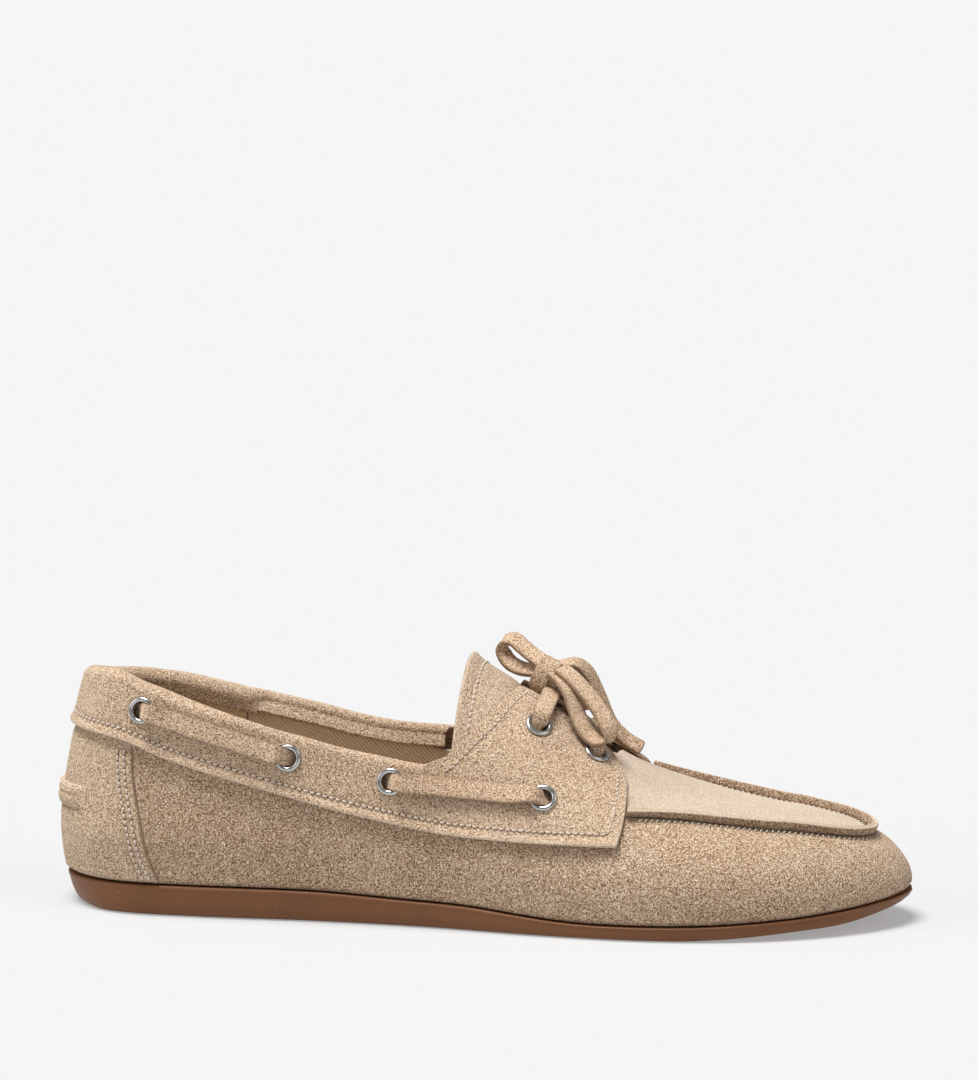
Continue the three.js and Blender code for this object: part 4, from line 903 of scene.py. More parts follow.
# ---- eyelets and lace ----------------------------------------------------------------------------
@dataclass
class Seat:
    """Where one eyelet sits: its place on the last and the frame there."""

    u: float
    v: float
    side: Side
    p: Array
    n: Array
    up: Array

    def ring(self, radius: Array, off: Array, count: int) -> Array:
        """Points on circles round the hole's axis: count by the shape of radius and off."""
        a = TAU * np.arange(count)[:, None] / count
        spoke = np.cos(a) * self.up + np.sin(a) * np.cross(self.n, self.up)
        return self.p + spoke[:, None] * np.asarray(radius)[..., None] + self.n * np.asarray(off)[..., None]

    @property
    def w(self) -> float:
        """As u, but negative on the medial side."""
        return self.u - (self.u > 0.5)


@dataclass
class Eyelets:
    """Twelve plated eyelets, six a side."""

    places: Tuple = (("a", 29.3, 62.2, -3.5), ("b", 74.5, 49.6, 0), ("c", 106.1, 43.6, 1.5),
                     ("d", 152.4, 40, 0), ("e", 164.6, 50.3, 0), ("f", 148.1, 58.9, 0))
    hole_r: float = 2.6
    cut_r: float = 3.15
    top: float = 1.6  # outer face of the band
    seats: Dict[str, Seat] = field(default_factory=dict)

    def __post_init__(self) -> None:
        """Finds each seat; medial holes follow their own top line."""
        for side in Side:
            for key, x, z, drop in self.places:
                z = np.array(z + (drop if side == Side.MEDIAL else 0))
                u, v = LAST.uv_at_side(np.array(x, float), z, side)
                frame_there = LAST.frame_at(u, v)
                self.seats[f"{side.name.lower()}_{key}"] = Seat(float(u), float(v), side, *frame_there)

    def ring(self, seat: Seat) -> Skin:
        """One eyelet: a closed rolled-flange profile turned round the hole's axis."""
        top, r = self.top, self.hole_r
        turn = np.linspace(np.pi, -0.25 * np.pi, 11)
        crest = np.stack([3.36 + 0.76 * np.cos(turn), top + 0.4 + 0.62 * np.sin(turn)], -1)
        profile = np.vstack([[[r, -0.4], [r, 0.3], [r, 1.2]], crest,
                             [[3.7, top + 0.02], [3.0, top - 0.05], [2.9, 0.6], [2.9, -0.5], [3.55, -0.55],
                              [3.6, -0.75], [3.3, -0.95], [2.75, -0.8]]])
        p = seat.ring(profile[:, 0], profile[:, 1], 48)
        return Skin(p.reshape(-1, 3), grid_faces(48, len(profile), True, True).tolist())

    def punch(self) -> bpy.types.Object:
        """Round plugs that cut the holes in the band, as one tool object."""
        count, skin = 40, Skin(np.empty((0, 3)), [])
        i = np.arange(count)
        j = (i + 1) % count
        faces = np.stack([i, j, count + j, count + i], -1).tolist() + [i[::-1].tolist(), (count + i).tolist()]
        for seat in self.seats.values():
            p = seat.ring([self.cut_r] * 2, [-1.2, 3.4], count)
            skin = skin.merged(Skin(p.swapaxes(0, 1).reshape(-1, 3), faces))
        return placed("hole_punch", plain_mesh("hole_punch", skin.points, skin.faces))

    def build(self) -> None:
        """Makes the twelve rings."""
        for name, seat in self.seats.items():
            write_piece(f"eyelet_ring_{name}", self.ring(seat), NICKEL, f"eyelet_{name}")


@dataclass
class Upper:
    """The suede upper: collar band with saddle flaps, facings, vamp, heel cap, plug, seam and tab."""

    eyelets: Eyelets
    cap_proud: float = 0.85
    cap_hide: float = 1.4
    channel: float = 2.0  # how far the vamp and the cap reach up under the band
    margin: float = 8.0  # turned in under the foot
    wall_start: float = 1.8  # height of the wall's first row over the feather line
    facing_end: float = 112.5  # length where the side facings end
    facing_seam: float = 54.0  # length where they meet the heel's
    facing_gap: float = 0.0006  # u between two facings
    facing_deep: Tuple[float, float] = (7.0, 5.6)  # at the heel and at the sides
    foam_end: float = 47.0
    foam_r: float = 1.3
    tab_end: float = 12.0
    tab_heights: Tuple[float, float] = (30.8, 6.4)  # lower edge and height of the heel tab

    def band_outer(self, w: Array, t: Array, face: int) -> Array:
        """Point of the flat part of the band, t from its lower edge to where the roll starts."""
        u, x = np.mod(w, 1), PATTERN.x_of(w)
        low, high = LAST.v_of_z(u, PATTERN.collar_low(x)), PATTERN.band_top(w)
        lean = 1.3 * np.sin(np.pi * np.clip(t, 0, 1)) * ease(150, PATTERN.saddle_x, x)
        shifted = np.where(w < 0, LAST.u_of_x(x + lean, Side.MEDIAL), LAST.u_of_x(x + lean, Side.LATERAL))
        u = np.where(x > 150, shifted, u)
        v = low + (high - low) * t
        off = PATTERN.band_in + (PATTERN.suede if face == 0 else 0.0)
        p = LAST.layer(u, v, 0.0)
        z = p[..., 2] - PATTERN.collar_low(x)
        dent = -0.28 * np.exp(-((z - 3.0) / 0.75) ** 2) * ease(176, 170, x)
        rise = 0.16 * waves(p[..., 0], p[..., 2], 17.0, 0.7) * ease(0, 6, z)
        flare = 0.95 * np.exp(-(z / 1.7) ** 2)
        return LAST.layer(u, v, off + (dent + flare if face == 0 else flare * 0.9) + rise)

    def collar_band(self) -> bpy.types.Object:
        """The band, rolled over the top line at the heel and sides and flat over the saddle."""
        xs = np.r_[np.linspace(1.2, 110, 66), np.linspace(111.5, 142, 40), np.linspace(143.2, 175, 30)]
        w = np.r_[LAST.w_of_x(xs, Side.MEDIAL)[::-1], 0.0, LAST.w_of_x(xs, Side.LATERAL)]
        t, arc = np.linspace(0, 1, 40), np.linspace(0, 1.1, 12)[1:]
        faces = []
        for face in (0, 1):
            flat = self.band_outer(w[:, None], t[None], face)
            u, radius = np.mod(w, 1)[:, None], PATTERN.roll_radius(w)[:, None]
            r = radius - (0 if face == 0 else PATTERN.suede)
            a = arc[None] * PATTERN.roll_turn(w)[:, None] * np.pi / 2
            centre = PATTERN.band_in + PATTERN.suede - radius
            v1 = np.broadcast_to(PATTERN.band_top(w)[:, None], a.shape)
            bent = LAST.layer(np.broadcast_to(u, a.shape), v1, centre + r * np.cos(a), r * np.sin(a))
            step = flat[:, -1:] - LAST.layer(u, v1[:, :1], centre + r)
            drift = step * np.cos(np.minimum(a, np.pi / 2))[..., None]
            faces.append(np.concatenate([flat, bent + drift], 1))
        obj = write_piece("collar_band_suede", shell(*faces, full=0.7), SUEDE_BAND, "collar_band")
        punch = self.eyelets.punch()
        cut = obj.modifiers.new("holes", "BOOLEAN")
        cut.operation, cut.object, cut.solver = "DIFFERENCE", punch, "EXACT"
        done = bpy.data.meshes.new_from_object(obj.evaluated_get(bpy.context.evaluated_depsgraph_get()))
        obj.modifiers.clear()
        obj.data = done
        bpy.data.objects.remove(punch)
        return obj

    def facing(self, part: str, w0: float, w1: float, depth: float, count: int) -> None:
        """Inner half of the roll: an arc from the crest to the inside, then a leg down along the last."""
        w = np.linspace(w0, w1, count)
        u, radius = np.mod(w, 1)[:, None], PATTERN.roll_radius(w)[:, None]
        v1 = PATTERN.band_top(w)[:, None]
        a = np.linspace(np.pi / 2 + 0.2, np.pi, 10)[None]
        legs = np.linspace(0, 1, 14)[None, 1:]
        deep = PATTERN.collar_r * 2 - PATTERN.band_in - PATTERN.suede
        faces = []
        for face in (0, 1):
            r = radius - (0 if face == 0 else PATTERN.suede)
            centre = PATTERN.band_in + PATTERN.suede - radius
            flat_a, flat_u, flat_v = np.broadcast_arrays(a + 0 * u, u, v1)
            bend = LAST.layer(flat_u, flat_v, centre + r * np.cos(flat_a), r * np.sin(flat_a))
            reach = np.minimum(legs * (depth - radius) / 2.8, 1)
            start = 2 * radius - PATTERN.band_in - PATTERN.suede
            off = -(start + (deep - start) * reach) + (0 if face == 0 else PATTERN.suede)
            z1 = LAST.point(u, v1)[..., 2]
            vleg = LAST.v_of_z(np.broadcast_to(u, off.shape), z1 - legs * (depth - radius))
            leg = LAST.layer(np.broadcast_to(u, off.shape), vleg, off)
            faces.append(np.concatenate([bend, leg], 1))
        write_piece(f"collar_facing_suede_{part}", shell(*faces, full=0.3), SUEDE_INSIDE,
                    f"collar_facing_{part}")

    def foam(self) -> None:
        """Round foam cord inside the padded part of the roll."""
        w = np.linspace(*LAST.w_span(self.foam_end), 160)
        p, n, _ = LAST.frame_at(np.mod(w, 1), PATTERN.band_top(w))
        path = p + n * (PATTERN.band_in + PATTERN.suede - PATTERN.collar_r)
        cord = swept(path, n, self.foam_r, self.foam_r, 14, 1.0)
        obj = write_piece("collar_padding", cord, FOAM, "collar_foam")

    def wall_v(self, u: Array, up: float) -> Array:
        """v at a height above the feather line."""
        return LAST.v_of_z(u, LAST.section(u)[4] + up)

    def lasted(self, u: Array, inset: Array, lift: float) -> Array:
        """Point of the margin turned in under the foot, inset from the feather line."""
        o, _, _, d, _, _, _ = LAST.section(u)
        p = o - d * np.broadcast_to(inset, d.shape[:-1])[..., None]
        return np.concatenate([p, (LAST.feather(p[..., 0]) + lift)[..., None]], -1)

    def seam_u(self, z: Array, side: Side, gap: float) -> Array:
        """u of the heel seam at height z."""
        return LAST.uv_at_side(PATTERN.heel_seam_x(z) + gap, z, side)[0]

    def wall(self, start: Callable, end: Callable, v_top: Callable, cols: int, rows: int, off: Callable,
             thick: float) -> Skin:
        """A wall of the upper between two seams, its lower edge turned in under the foot.

        Args:
            start: w of the first seam for rows' heights.
            end: w of the last seam for rows' heights.
            v_top: v of the upper edge at u.
            cols: Stations along the wall.
            rows: Rows up the wall.
            off: Offset of the outer face for w, v and the share of the height.
            thick: Thickness of the hide.

        Returns:
            The closed skin.
        """
        t = np.linspace(0, 1, rows)[None]
        s = np.linspace(0, 1, cols)[:, None]
        heights = []
        for edge in (start, end):
            guess = np.mod(edge(np.full(rows, 25.0)), 1)
            for _ in range(2):
                low = self.wall_v(guess, self.wall_start)
                v = low + (v_top(guess) - low) * t[0]
                z = LAST.point(guess, v)[..., 2]
                guess = np.mod(edge(z), 1)
            heights.append(edge(z))
        w = heights[0][None] + (heights[1] - heights[0])[None] * s
        u = np.mod(w, 1)
        low = self.wall_v(u, self.wall_start)
        v = low + (v_top(u) - low) * t
        proud = off(w, v, t)
        outer, inner = LAST.layer(u, v, proud), LAST.layer(u, v, proud - thick)
        under = np.mod(w[:, :1], 1)
        turn = np.array([self.margin, 5.0, 2.5, 1.1, 0.45])[None]
        uu, tt = np.broadcast_arrays(under, turn)
        fold_out = self.lasted(uu, tt, 0.02)
        fold_out[:, -1, 2] += 0.25
        fold_in = self.lasted(uu, np.maximum(tt, 1.5), 1.3)
        return shell(np.concatenate([fold_out, outer], 1), np.concatenate([fold_in, inner], 1), full=0.6)

    def vamp(self) -> None:
        """The vamp: both sides and the toe, from one heel seam to the other."""
        def top(u: Array) -> Array:
            """Under the band at the sides, at the moccasin seam round the toe."""
            x = LAST.outline(u)[..., 0]
            under = LAST.v_of_z(u, PATTERN.collar_low(x) + self.channel)
            seam = np.maximum(PATTERN.seam_v(u) - 0.006, 0.02)
            return under + (seam - under) * np.where(x < 160, 0, ease(162, 172, x))

        def off(w: Array, v: Array, t: Array) -> Array:
            """Soft unevenness, and puckers below the whipped seam."""
            p = LAST.point(np.mod(w, 1), v)
            near = np.clip((top(np.mod(w, 1)) - v) * 40, 0, 9) * ease(170, 180, p[..., 0])
            pucker = -0.22 * np.exp(-(near / 2.2) ** 2) * ease(172, 180, p[..., 0])
            return 0.18 * waves(p[..., 0], p[..., 2] + p[..., 1], 14.0, 1.9) * ease(0, 0.2, t) + pucker
        skin = self.wall(lambda z: self.seam_u(z, Side.LATERAL, 0.1),
                         lambda z: self.seam_u(z, Side.MEDIAL, 0.1), top, 420, 44, off, PATTERN.suede)
        write_piece("vamp_suede", skin, SUEDE_VAMP_SHADED, "vamp")

    def heel_cap(self) -> None:
        """The cap round the heel, lapped a little proud over the vamp's seam edge."""
        def off(w: Array, v: Array, t: Array) -> Array:
            """Proud all over but under the band; a crease where the two seam rows pull it down."""
            u = np.mod(w, 1)
            low = LAST.v_of_z(u, PATTERN.collar_low(LAST.outline(u)[..., 0]))
            p = LAST.point(u, v)
            under = ease(0.0, -0.035, v - low)
            gap = PATTERN.heel_seam_x(p[..., 2]) - p[..., 0]
            row = -0.22 * (np.exp(-((gap - 2.3) / 0.7) ** 2) + np.exp(-((gap - 4.4) / 0.7) ** 2))
            return (self.cap_proud + row + 0.14 * waves(p[..., 1], p[..., 2], 9.0, 0.4)) * under

        def top(u: Array) -> Array:
            """Under the band."""
            return LAST.v_of_z(u, PATTERN.collar_low(LAST.outline(u)[..., 0]) + self.channel)
        skin = self.wall(lambda z: self.seam_u(z, Side.MEDIAL, -0.1) - 1,
                         lambda z: self.seam_u(z, Side.LATERAL, -0.1), top, 170, 44, off, self.cap_hide)
        write_piece("heel_cap_suede", skin, SUEDE_CAP_EDGE_SHADE, "heel_cap")

    def plug(self) -> None:
        """The plug over the toes, inside the moccasin seam, with a scored line beside the seam."""
        si, sj = np.linspace(0, 1, 90)[:, None], np.linspace(0, 1, 60)[None]
        q = si / 2
        a, b = PATTERN.seam(q[:, 0]), PATTERN.seam(1 - q[:, 0])
        a, b = a - PATTERN.seam_normal(q[:, 0]) * 0.1, b - PATTERN.seam_normal(1 - q[:, 0]) * 0.1
        b[-1] = a[-1] + [0, 0.02]
        x = a[:, None, 0] + (b - a)[:, None, 0] * sj
        y = a[:, None, 1] + (b - a)[:, None, 1] * sj
        wide = np.linalg.norm(b - a, axis=1)[:, None]
        edge = np.minimum(sj, 1 - sj) * wide
        score = -0.3 * np.exp(-((edge - 3.4) / 0.35) ** 2) * ease(6, 16, wide)
        bowl = -0.5 * ease(0, 7, edge) * ease(9, 3, edge)
        off = score + bowl * 0.4 + 0.16 * waves(x, y, 13.0, 0.2) - 0.2 * (1 - ease(174, 184, x))
        skin = shell(LAST.crown_point(x, y, off), LAST.crown_point(x, y, off - PATTERN.suede), full=0.5)
        write_piece("apron_plug_suede", skin, SUEDE_CROWN_LIT, "apron_plug")

    def ridge(self) -> None:
        """Raised seam: the turned-up edges of vamp and plug, side by side with a fine groove between."""
        profile = np.array([[-0.95, 0.05], [-1.02, 0.9], [-1.05, 1.9], [-0.95, 2.5], [-0.6, 2.78],
                            [-0.25, 2.7], [-0.08, 2.3], [0.1, 2.75], [0.42, 2.92], [0.85, 2.8],
                            [1.08, 2.4], [1.12, 1.3], [1.0, 0.3], [0.0, 0.1]])
        q = np.linspace(0.042, 0.964, 430)
        c, m = PATTERN.seam(q), PATTERN.seam_normal(q)
        low, high = LAST.crown_point(c[:, 0], c[:, 1], 0.1), LAST.crown_point(c[:, 0], c[:, 1], 2.7)
        up = unit(high - low)
        out = np.concatenate([m, np.zeros((len(q), 1))], 1)
        out = unit(out - up * np.sum(out * up, -1, keepdims=True))
        walk = travelled(c)
        swell = 1 + 0.05 * np.sin(walk / 1.75 * 2 * np.pi) + 0.04 * np.sin(walk / 9.0)
        tall = (0.86 + 0.18 * ease(0, 30, walk)) * (1 + 0.03 * np.sin(walk / 6.0))
        p = (low[:, None] + out[:, None] * (profile[None, :, :1] * swell[:, None, None])
             + up[:, None] * (profile[None, :, 1:] * tall[:, None, None]))
        n, k = p.shape[:2]
        # Crest mask: where the ridge's finish paints its pale highlight along the top.
        crest = np.tile((np.abs(np.arange(k) - 6.5) < 3).astype(float), (n, 1)).reshape(-1)
        write_piece("apron_seam_suede", Skin(p.reshape(-1, 3), tube_faces(n, k), None, crest), SUEDE_RIDGE_SHADE_AND_HIGHLIGHT,
                    "apron_ridge")

    @staticmethod
    def tab_lift(u: Array, full: Array) -> Array:
        """Height of the heel tab's face, sinking to the hide at both ends."""
        fade = ease(12.0, 7.0, LAST.outline(u)[..., 0])
        return 0.95 + (full - 0.95) * (0.12 + 0.88 * fade)

    def heel_tab(self) -> None:
        """Small folded tab across the back of the heel, fat in the middle of its height."""
        w = np.linspace(*LAST.w_span(self.tab_end), 90)[:, None]
        t = np.linspace(0, 1, 20)[None]
        u = np.mod(w, 1)
        z = self.tab_heights[0] + self.tab_heights[1] * t + 0.25 * np.sin(LAST.outline(u)[..., 1] / 5.0)
        v = LAST.v_of_z(np.broadcast_to(u, z.shape), z)
        sag = 2.35 - 0.75 * np.abs(2 * t - 1) ** 3 - 0.35 * np.exp(-((t - 0.5) / 0.08) ** 2)
        skin = shell(LAST.layer(u, v, self.tab_lift(u, sag)), LAST.layer(u, v, 0.6), full=0.6)
        write_piece("heel_tab_suede", skin, SUEDE_BAND, "heel_tab")

    def build(self) -> None:
        """Makes every suede piece of the upper."""
        self.collar_band()
        (far, near), (far_seam, near_seam) = LAST.w_span(self.facing_end), LAST.w_span(self.facing_seam)
        at_heel, at_side = self.facing_deep
        self.facing("heel", far_seam, near_seam, at_heel, 150)
        self.facing("lateral", near_seam + self.facing_gap, near, at_side, 90)
        self.facing("medial", far, far_seam - self.facing_gap, at_side, 90)
        self.foam()
        self.vamp()
        self.heel_cap()
        self.plug()
        self.ridge()
        self.heel_tab()


@dataclass
class Lining:
    """Inside of the shoe: twill walls and heel grip, and the hidden stiffeners."""

    floor: float = 3.8
    out: float = -3.3
    inside: float = -4.0

    def wall(self, name: str, node: str, w0: float, w1: float, top: Callable) -> None:
        """A thin twill wall along the inside of the last, with a flat map in millimetres for its weave."""
        rows = 24
        w = np.linspace(w0, w1, 160)[:, None]
        u = np.mod(w, 1)
        low = LAST.v_of_z(u, LAST.section(u)[4] + self.floor)
        v = low + (top(w) - low) * np.linspace(0, 1, rows)[None]
        outer, inner = LAST.layer(u, v, self.out), LAST.layer(u, v, self.inside)
        along = travelled(inner[:, rows // 2])
        uv = np.stack([np.repeat(along[:, None], rows, 1), inner[..., 2]], -1)
        write_piece(name, shell(outer, inner, full=0.5, steps=2, uv=uv), TWILL, node)

    def build(self) -> None:
        """Makes the lining walls and dresses the board and stiffeners."""
        def grip_top(w: Array) -> Array:
            """Under the heel's collar facing."""
            return LAST.v_of_z(np.mod(w, 1), PATTERN.top_line(w) - 5.4)

        def side_top(w: Array) -> Array:
            """Under the collar facings, then level under the saddle."""
            x = PATTERN.x_of(w)
            near = PATTERN.top_line(np.clip(w, *LAST.w_span(106.0))) - 5.6
            far = np.where(w < 0, 45.2, 43.2)
            z = np.where(x < 106, PATTERN.top_line(w) - 5.6, near + (far - near) * ease(104, 113, x))
            return LAST.v_of_z(np.mod(w, 1), z)

        def toe_top(w: Array) -> Array:
            """A little over the moccasin seam."""
            return np.minimum(PATTERN.seam_v(w) * 1.12, 0.9)
        grip, back, gap = LAST.w_span(50.0), LAST.w_span(170.0), 0.0012
        toe = [float(LAST.u_of_x(179.8, side)) for side in Side]
        self.wall("heel_grip_twill", "heel_grip", *grip, grip_top)
        self.wall("lining_twill_lateral", "lining_lateral", grip[1] + gap, back[1], side_top)
        self.wall("lining_twill_medial", "lining_medial", back[0], grip[0] - gap, side_top)
        self.wall("lining_twill_vamp", "lining_vamp", *toe, toe_top)
        for node in ("heel_counter", "toe_puff", "insole_board"):
            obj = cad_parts[node]
            obj.data.materials.clear()
            obj.data.materials.append(BOARD.material())
            LOG.info("%s keeps its CAD shape", node)


@dataclass
class Tongue:
    """The tongue: a crowned suede flap from under the plug to behind the laces."""

    root: float = 178.0
    tip: float = 126.2
    thick: float = 1.4
    hem: float = 3.2  # from the tip to the row of stitches

    def __post_init__(self) -> None:
        """Its depth below the last and half width against length."""
        self.off = table(((126, -0.1), (134, -0.35), (139, -0.8), (143.5, -2.9), (148, -3.6), (164, -3.6),
                          (168, -2.2), (170.5, -1.75), (178, -1.7)))
        self.half = table(((126, 28), (134, 25), (140, 22), (150, 18.5), (160, 15), (170, 12.5), (178, 12)))

    def at(self, si: Array, sj: Array, lift: float) -> Array:
        """Point of the tongue: si from its tip to its root, sj across it."""
        x = self.tip + (self.root - self.tip) * si
        y = (2 * sj - 1) * self.half(x) - 2 * (1 - ease(140, 178, x))
        back = -2.2 * np.abs(2 * sj - 1) ** 2 * (1 - ease(126, 136, x))
        row = -0.25 * np.exp(-((x - self.tip - self.hem) / 0.7) ** 2) if lift == 0 else 0.0
        return LAST.crown_point(x + back, y, self.off(x) + lift + row + 0.12 * waves(x, y, 10.0, 2.2))

    def build(self) -> None:
        """Makes the tongue, its transform baked, and its hem stitches on the tongue's body."""
        si, sj = np.linspace(0, 1, 90)[:, None], np.linspace(0, 1, 70)[None]
        skin = shell(self.at(si, sj, 0.0), self.at(si, sj, -self.thick), full=0.8)
        obj = write_piece("tongue_suede", skin, SUEDE_TONGUE, "tongue", body=None)
        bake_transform(obj)
        across = np.linspace(0.06, 0.94, 120)
        row = np.full(120, self.hem / (self.root - self.tip))
        path = self.at(row, across, 0.0)
        normal = unit(self.at(row, across, 1.0) - path)
        write_piece("tongue_hem_stitches", StitchRow().skin(path, normal), THREAD_PALE, body="tongue_body")


@dataclass(frozen=True)
class Ribbon:
    """One loop or tail of the bow: the body that carries it, its line, width directions and width."""

    body: str
    points: Tuple
    sides: Tuple
    wide: float


BOW = (
    Ribbon("loop_lateral",
           ((150.8, -4.4, 73.7), (153.9, -6.6, 71.4), (156.5, -9.2, 68.3), (158.2, -11.4, 64.4),
            (160.1, -13.6, 60.5), (162.9, -15.6, 56.9), (166.0, -16.8, 55.1), (168.5, -16.6, 55.6),
            (169.0, -15.2, 58.3), (167.2, -12.8, 61.5), (164.0, -10.2, 65.4), (160.2, -8.0, 69.2),
            (156.6, -6.0, 72.3), (152.9, -4.2, 74.7)),
           (0.39, 0.892, 0.22), 6.6),
    Ribbon("loop_rear",
           ((145.8, 2.9, 72.9), (139.5, 5.2, 72.9), (135.2, 7.0, 74.6), (132.8, 8.4, 78.0),
            (133.5, 8.8, 80.9), (136.2, 8.2, 81.4), (139.3, 6.4, 79.5), (142.5, 4.4, 77.5),
            (145.8, 2.6, 75.7)),
           (0.33, 0.77, 0.54), 5.4),
    Ribbon("tail_front",
           ((150.9, 0.2, 74.8), (155.8, 2.2, 75.5), (159.4, 4.4, 72.7), (162.7, 6.2, 65.5),
            (166.1, 8.0, 56.9), (170.2, 9.4, 51.9), (174.9, 10.4, 48.8)),
           ((0.2, 0.9, 0.5), (0.3, 0.9, 0.3), (0.5, 0.8, 0.3), (0.5, 0.8, 0.3), (0.4, 0.8, 0.5),
            (0.3, 0.7, 0.65), (0.3, 0.65, 0.7)), 4.8),
    Ribbon("tail_medial",
           ((149.8, 2.1, 71.4), (152.6, 6.4, 71.2), (154.2, 11, 68.4), (155.2, 15.8, 63.6),
            (156, 20.4, 59)),
           ((1, -0.4, 0), (1, -0.3, 0), (1, -0.2, 0), (1, -0.1, 0), (1, 0, 0)), 4.4),
)


@dataclass
class Lace:
    """One suede thong through all twelve eyelets, and the bow it is tied in."""

    eyelets: Eyelets
    wide: float = 6.0
    thick: float = 1.8
    hole: float = 5.0  # width pinched in an eyelet
    within: float = 4.4  # width inside the collar
    at_knot: float = 2.8  # half width at the knot
    out: float = 3.2  # height over the last outside the band
    below: float = -2.1  # height inside it
    knot: Tuple[float, float, float] = (147.8, -2.0, 71.6)
    path: List = field(default_factory=list)

    def put(self, p: Array, b: Array, w: float) -> None:
        """Adds a waypoint: place, width direction, half width."""
        self.path.append((np.asarray(p, float), np.asarray(b, float), float(w)))

    @staticmethod
    def toward(seat: Seat, target: Array) -> Array:
        """Direction along the surface from a seat to a point."""
        d = target - seat.p
        return unit(d - seat.n * np.dot(d, seat.n))

    def through(self, seat: Seat, outside: Array, inside: Array, inwards: bool) -> None:
        """Waypoints through one hole: over the flange, narrowing, down the barrel, and away inside.

        Args:
            seat: The eyelet.
            outside: Point that the strand runs to outside the band.
            inside: Point that it runs to inside.
            inwards: Whether the course goes inwards here.
        """
        top = self.eyelets.top
        out_dir, in_dir = self.toward(seat, outside), self.toward(seat, inside)
        bo, bi = np.cross(seat.n, -out_dir), np.cross(seat.n, in_dir)
        over = ((5, self.out + 0.5, 0.1, 0), (3.7, top + 2.5, 0.35, 0), (2.4, top + 2.2, 0.7, 0),
                (1.25, top + 0.95, 1, 0.1), (0.25, 0.9, 1, 0.35))
        under = ((0.9, -0.7, 0, 0.65), (2.0, -1.8, 0.3, 0.9), (3.4, -2.15, 0.7, 1))
        seq = []
        for rows, way, w0, w1 in ((over, out_dir, self.wide, self.hole),
                                  (under, in_dir, self.hole, self.within)):
            for d, off, share, turn in rows:
                seq.append((seat.p + seat.n * off + way * d, unit(bo + (bi - bo) * turn),
                            (w0 + (w1 - w0) * share) / 2))
        for p, b, w in (seq if inwards else seq[::-1]):
            self.put(p, b if inwards else -b, w)

    def run(self, a: Seat, b: Seat, off: float, width: float, steps: int) -> None:
        """Waypoints between two seats over the surface of the last, at one offset."""
        t = np.arange(1, steps) / steps
        u = np.mod(a.w + (b.w - a.w) * t, 1)
        p, n, _ = LAST.frame_at(u, LAST.v_of_z(u, a.p[2] + (b.p[2] - a.p[2]) * t))
        p = p + n * off
        line = np.vstack([a.p + a.n * off, p, b.p + b.n * off])
        for i in range(len(p)):
            self.put(p[i], np.cross(n[i], unit(line[i + 2] - line[i])), width / 2)

    def crossing(self, start: Seat, stop: Seat, over: bool) -> List:
        """Waypoints of a strand that crosses the lacing gap, above or below the other one."""
        g = PATTERN.lacing_gap
        middle = (((g, self.out + 0.2), (4, 2.9), (0.5, 2.2), (-2.6, 0.6), (-5.2, -1.2)) if over else
                  ((g - 0.2, self.out), (5, 1.6), (2.4, -0.1), (-1, -0.8), (-4, -1.3)))
        y, off = np.array([(g + 2.4, self.out + 0.6), *middle, (-g - 2, -1.7)]).T
        y = y * start.side
        x = start.p[0] + (stop.p[0] - start.p[0]) * (y - start.p[1]) / (stop.p[1] - start.p[1])
        p = LAST.crown_point(x, y, off)
        n = unit(LAST.crown_point(x, y, off + 1) - p)
        t = unit(np.vstack([p[1:2] - p[:1], p[2:] - p[:-2], p[-1:] - p[-2:-1]]))
        w = (self.wide + (self.within - self.wide) * np.minimum(np.arange(len(p)) / 3, 1)) / 2
        return list(zip(p, unit(np.cross(n, t)), w))

    def strand(self, seat: Seat) -> List[Array]:
        """Three points of the free strand from the knot towards a front hole."""
        k = np.array(self.knot)
        start = k + [2.6 if seat.side == Side.LATERAL else 0.6, seat.side * 3.6, -3.4]
        end = seat.p + seat.n * 4.2 + self.toward(seat, k) * 3.9
        return [start + (end - start) * s for s in (0, 0.33, 0.66)]

    def route(self) -> None:
        """The whole course of the thong, knot to knot.

        It runs down one front hole, crosses the gap, then goes in and out of the ten side holes round
        the heel, and crosses back. At every hole it leaves on the other face of the band.
        """
        seats, k = self.eyelets.seats, np.array(self.knot)
        first, last = seats["medial_f"], seats["lateral_f"]
        there = self.crossing(seats["lateral_e"], first, True)
        back = self.crossing(seats["medial_e"], last, False)
        for p in self.strand(first):
            self.put(p, np.cross(first.n, -self.toward(first, k)), self.at_knot)
        self.through(first, k, there[-1][0], True)
        self.path.pop(3)
        for p, b, w in there[::-1]:
            self.put(p, -b, w)
        holes = [seats[f"lateral_{key}"] for key in "edcba"] + [seats[f"medial_{key}"] for key in "abcde"]
        ahead = [hole.p for hole in holes[1:]] + [back[0][0]]
        behind = [there[0][0]] + [hole.p for hole in holes[:-1]]
        for points, hole, step in ((ahead, 4, -0.01), (behind, 5, 0.01)):  # round the heel, not across it
            seat = holes[hole]
            points[hole] = LAST.point(np.mod(np.array(seat.w + step), 1), np.array(seat.v))
        steps = (3, 5, 5, 6, 12, 6, 5, 6, 3)
        for i, hole in enumerate(holes):
            inwards = i % 2 == 0
            ends = (behind[i], ahead[i]) if inwards else (ahead[i], behind[i])
            self.through(hole, *ends, inwards)
            if i < len(steps):
                level = (self.below, self.within) if inwards else (self.out, self.wide)
                self.run(hole, holes[i + 1], *level, steps[i])
        for p, b, w in back:
            self.put(p, b, w)
        self.through(last, k, back[-1][0], False)
        self.path.pop()
        for p in self.strand(last)[::-1]:
            self.put(p, np.cross(last.n, self.toward(last, k)), self.at_knot)

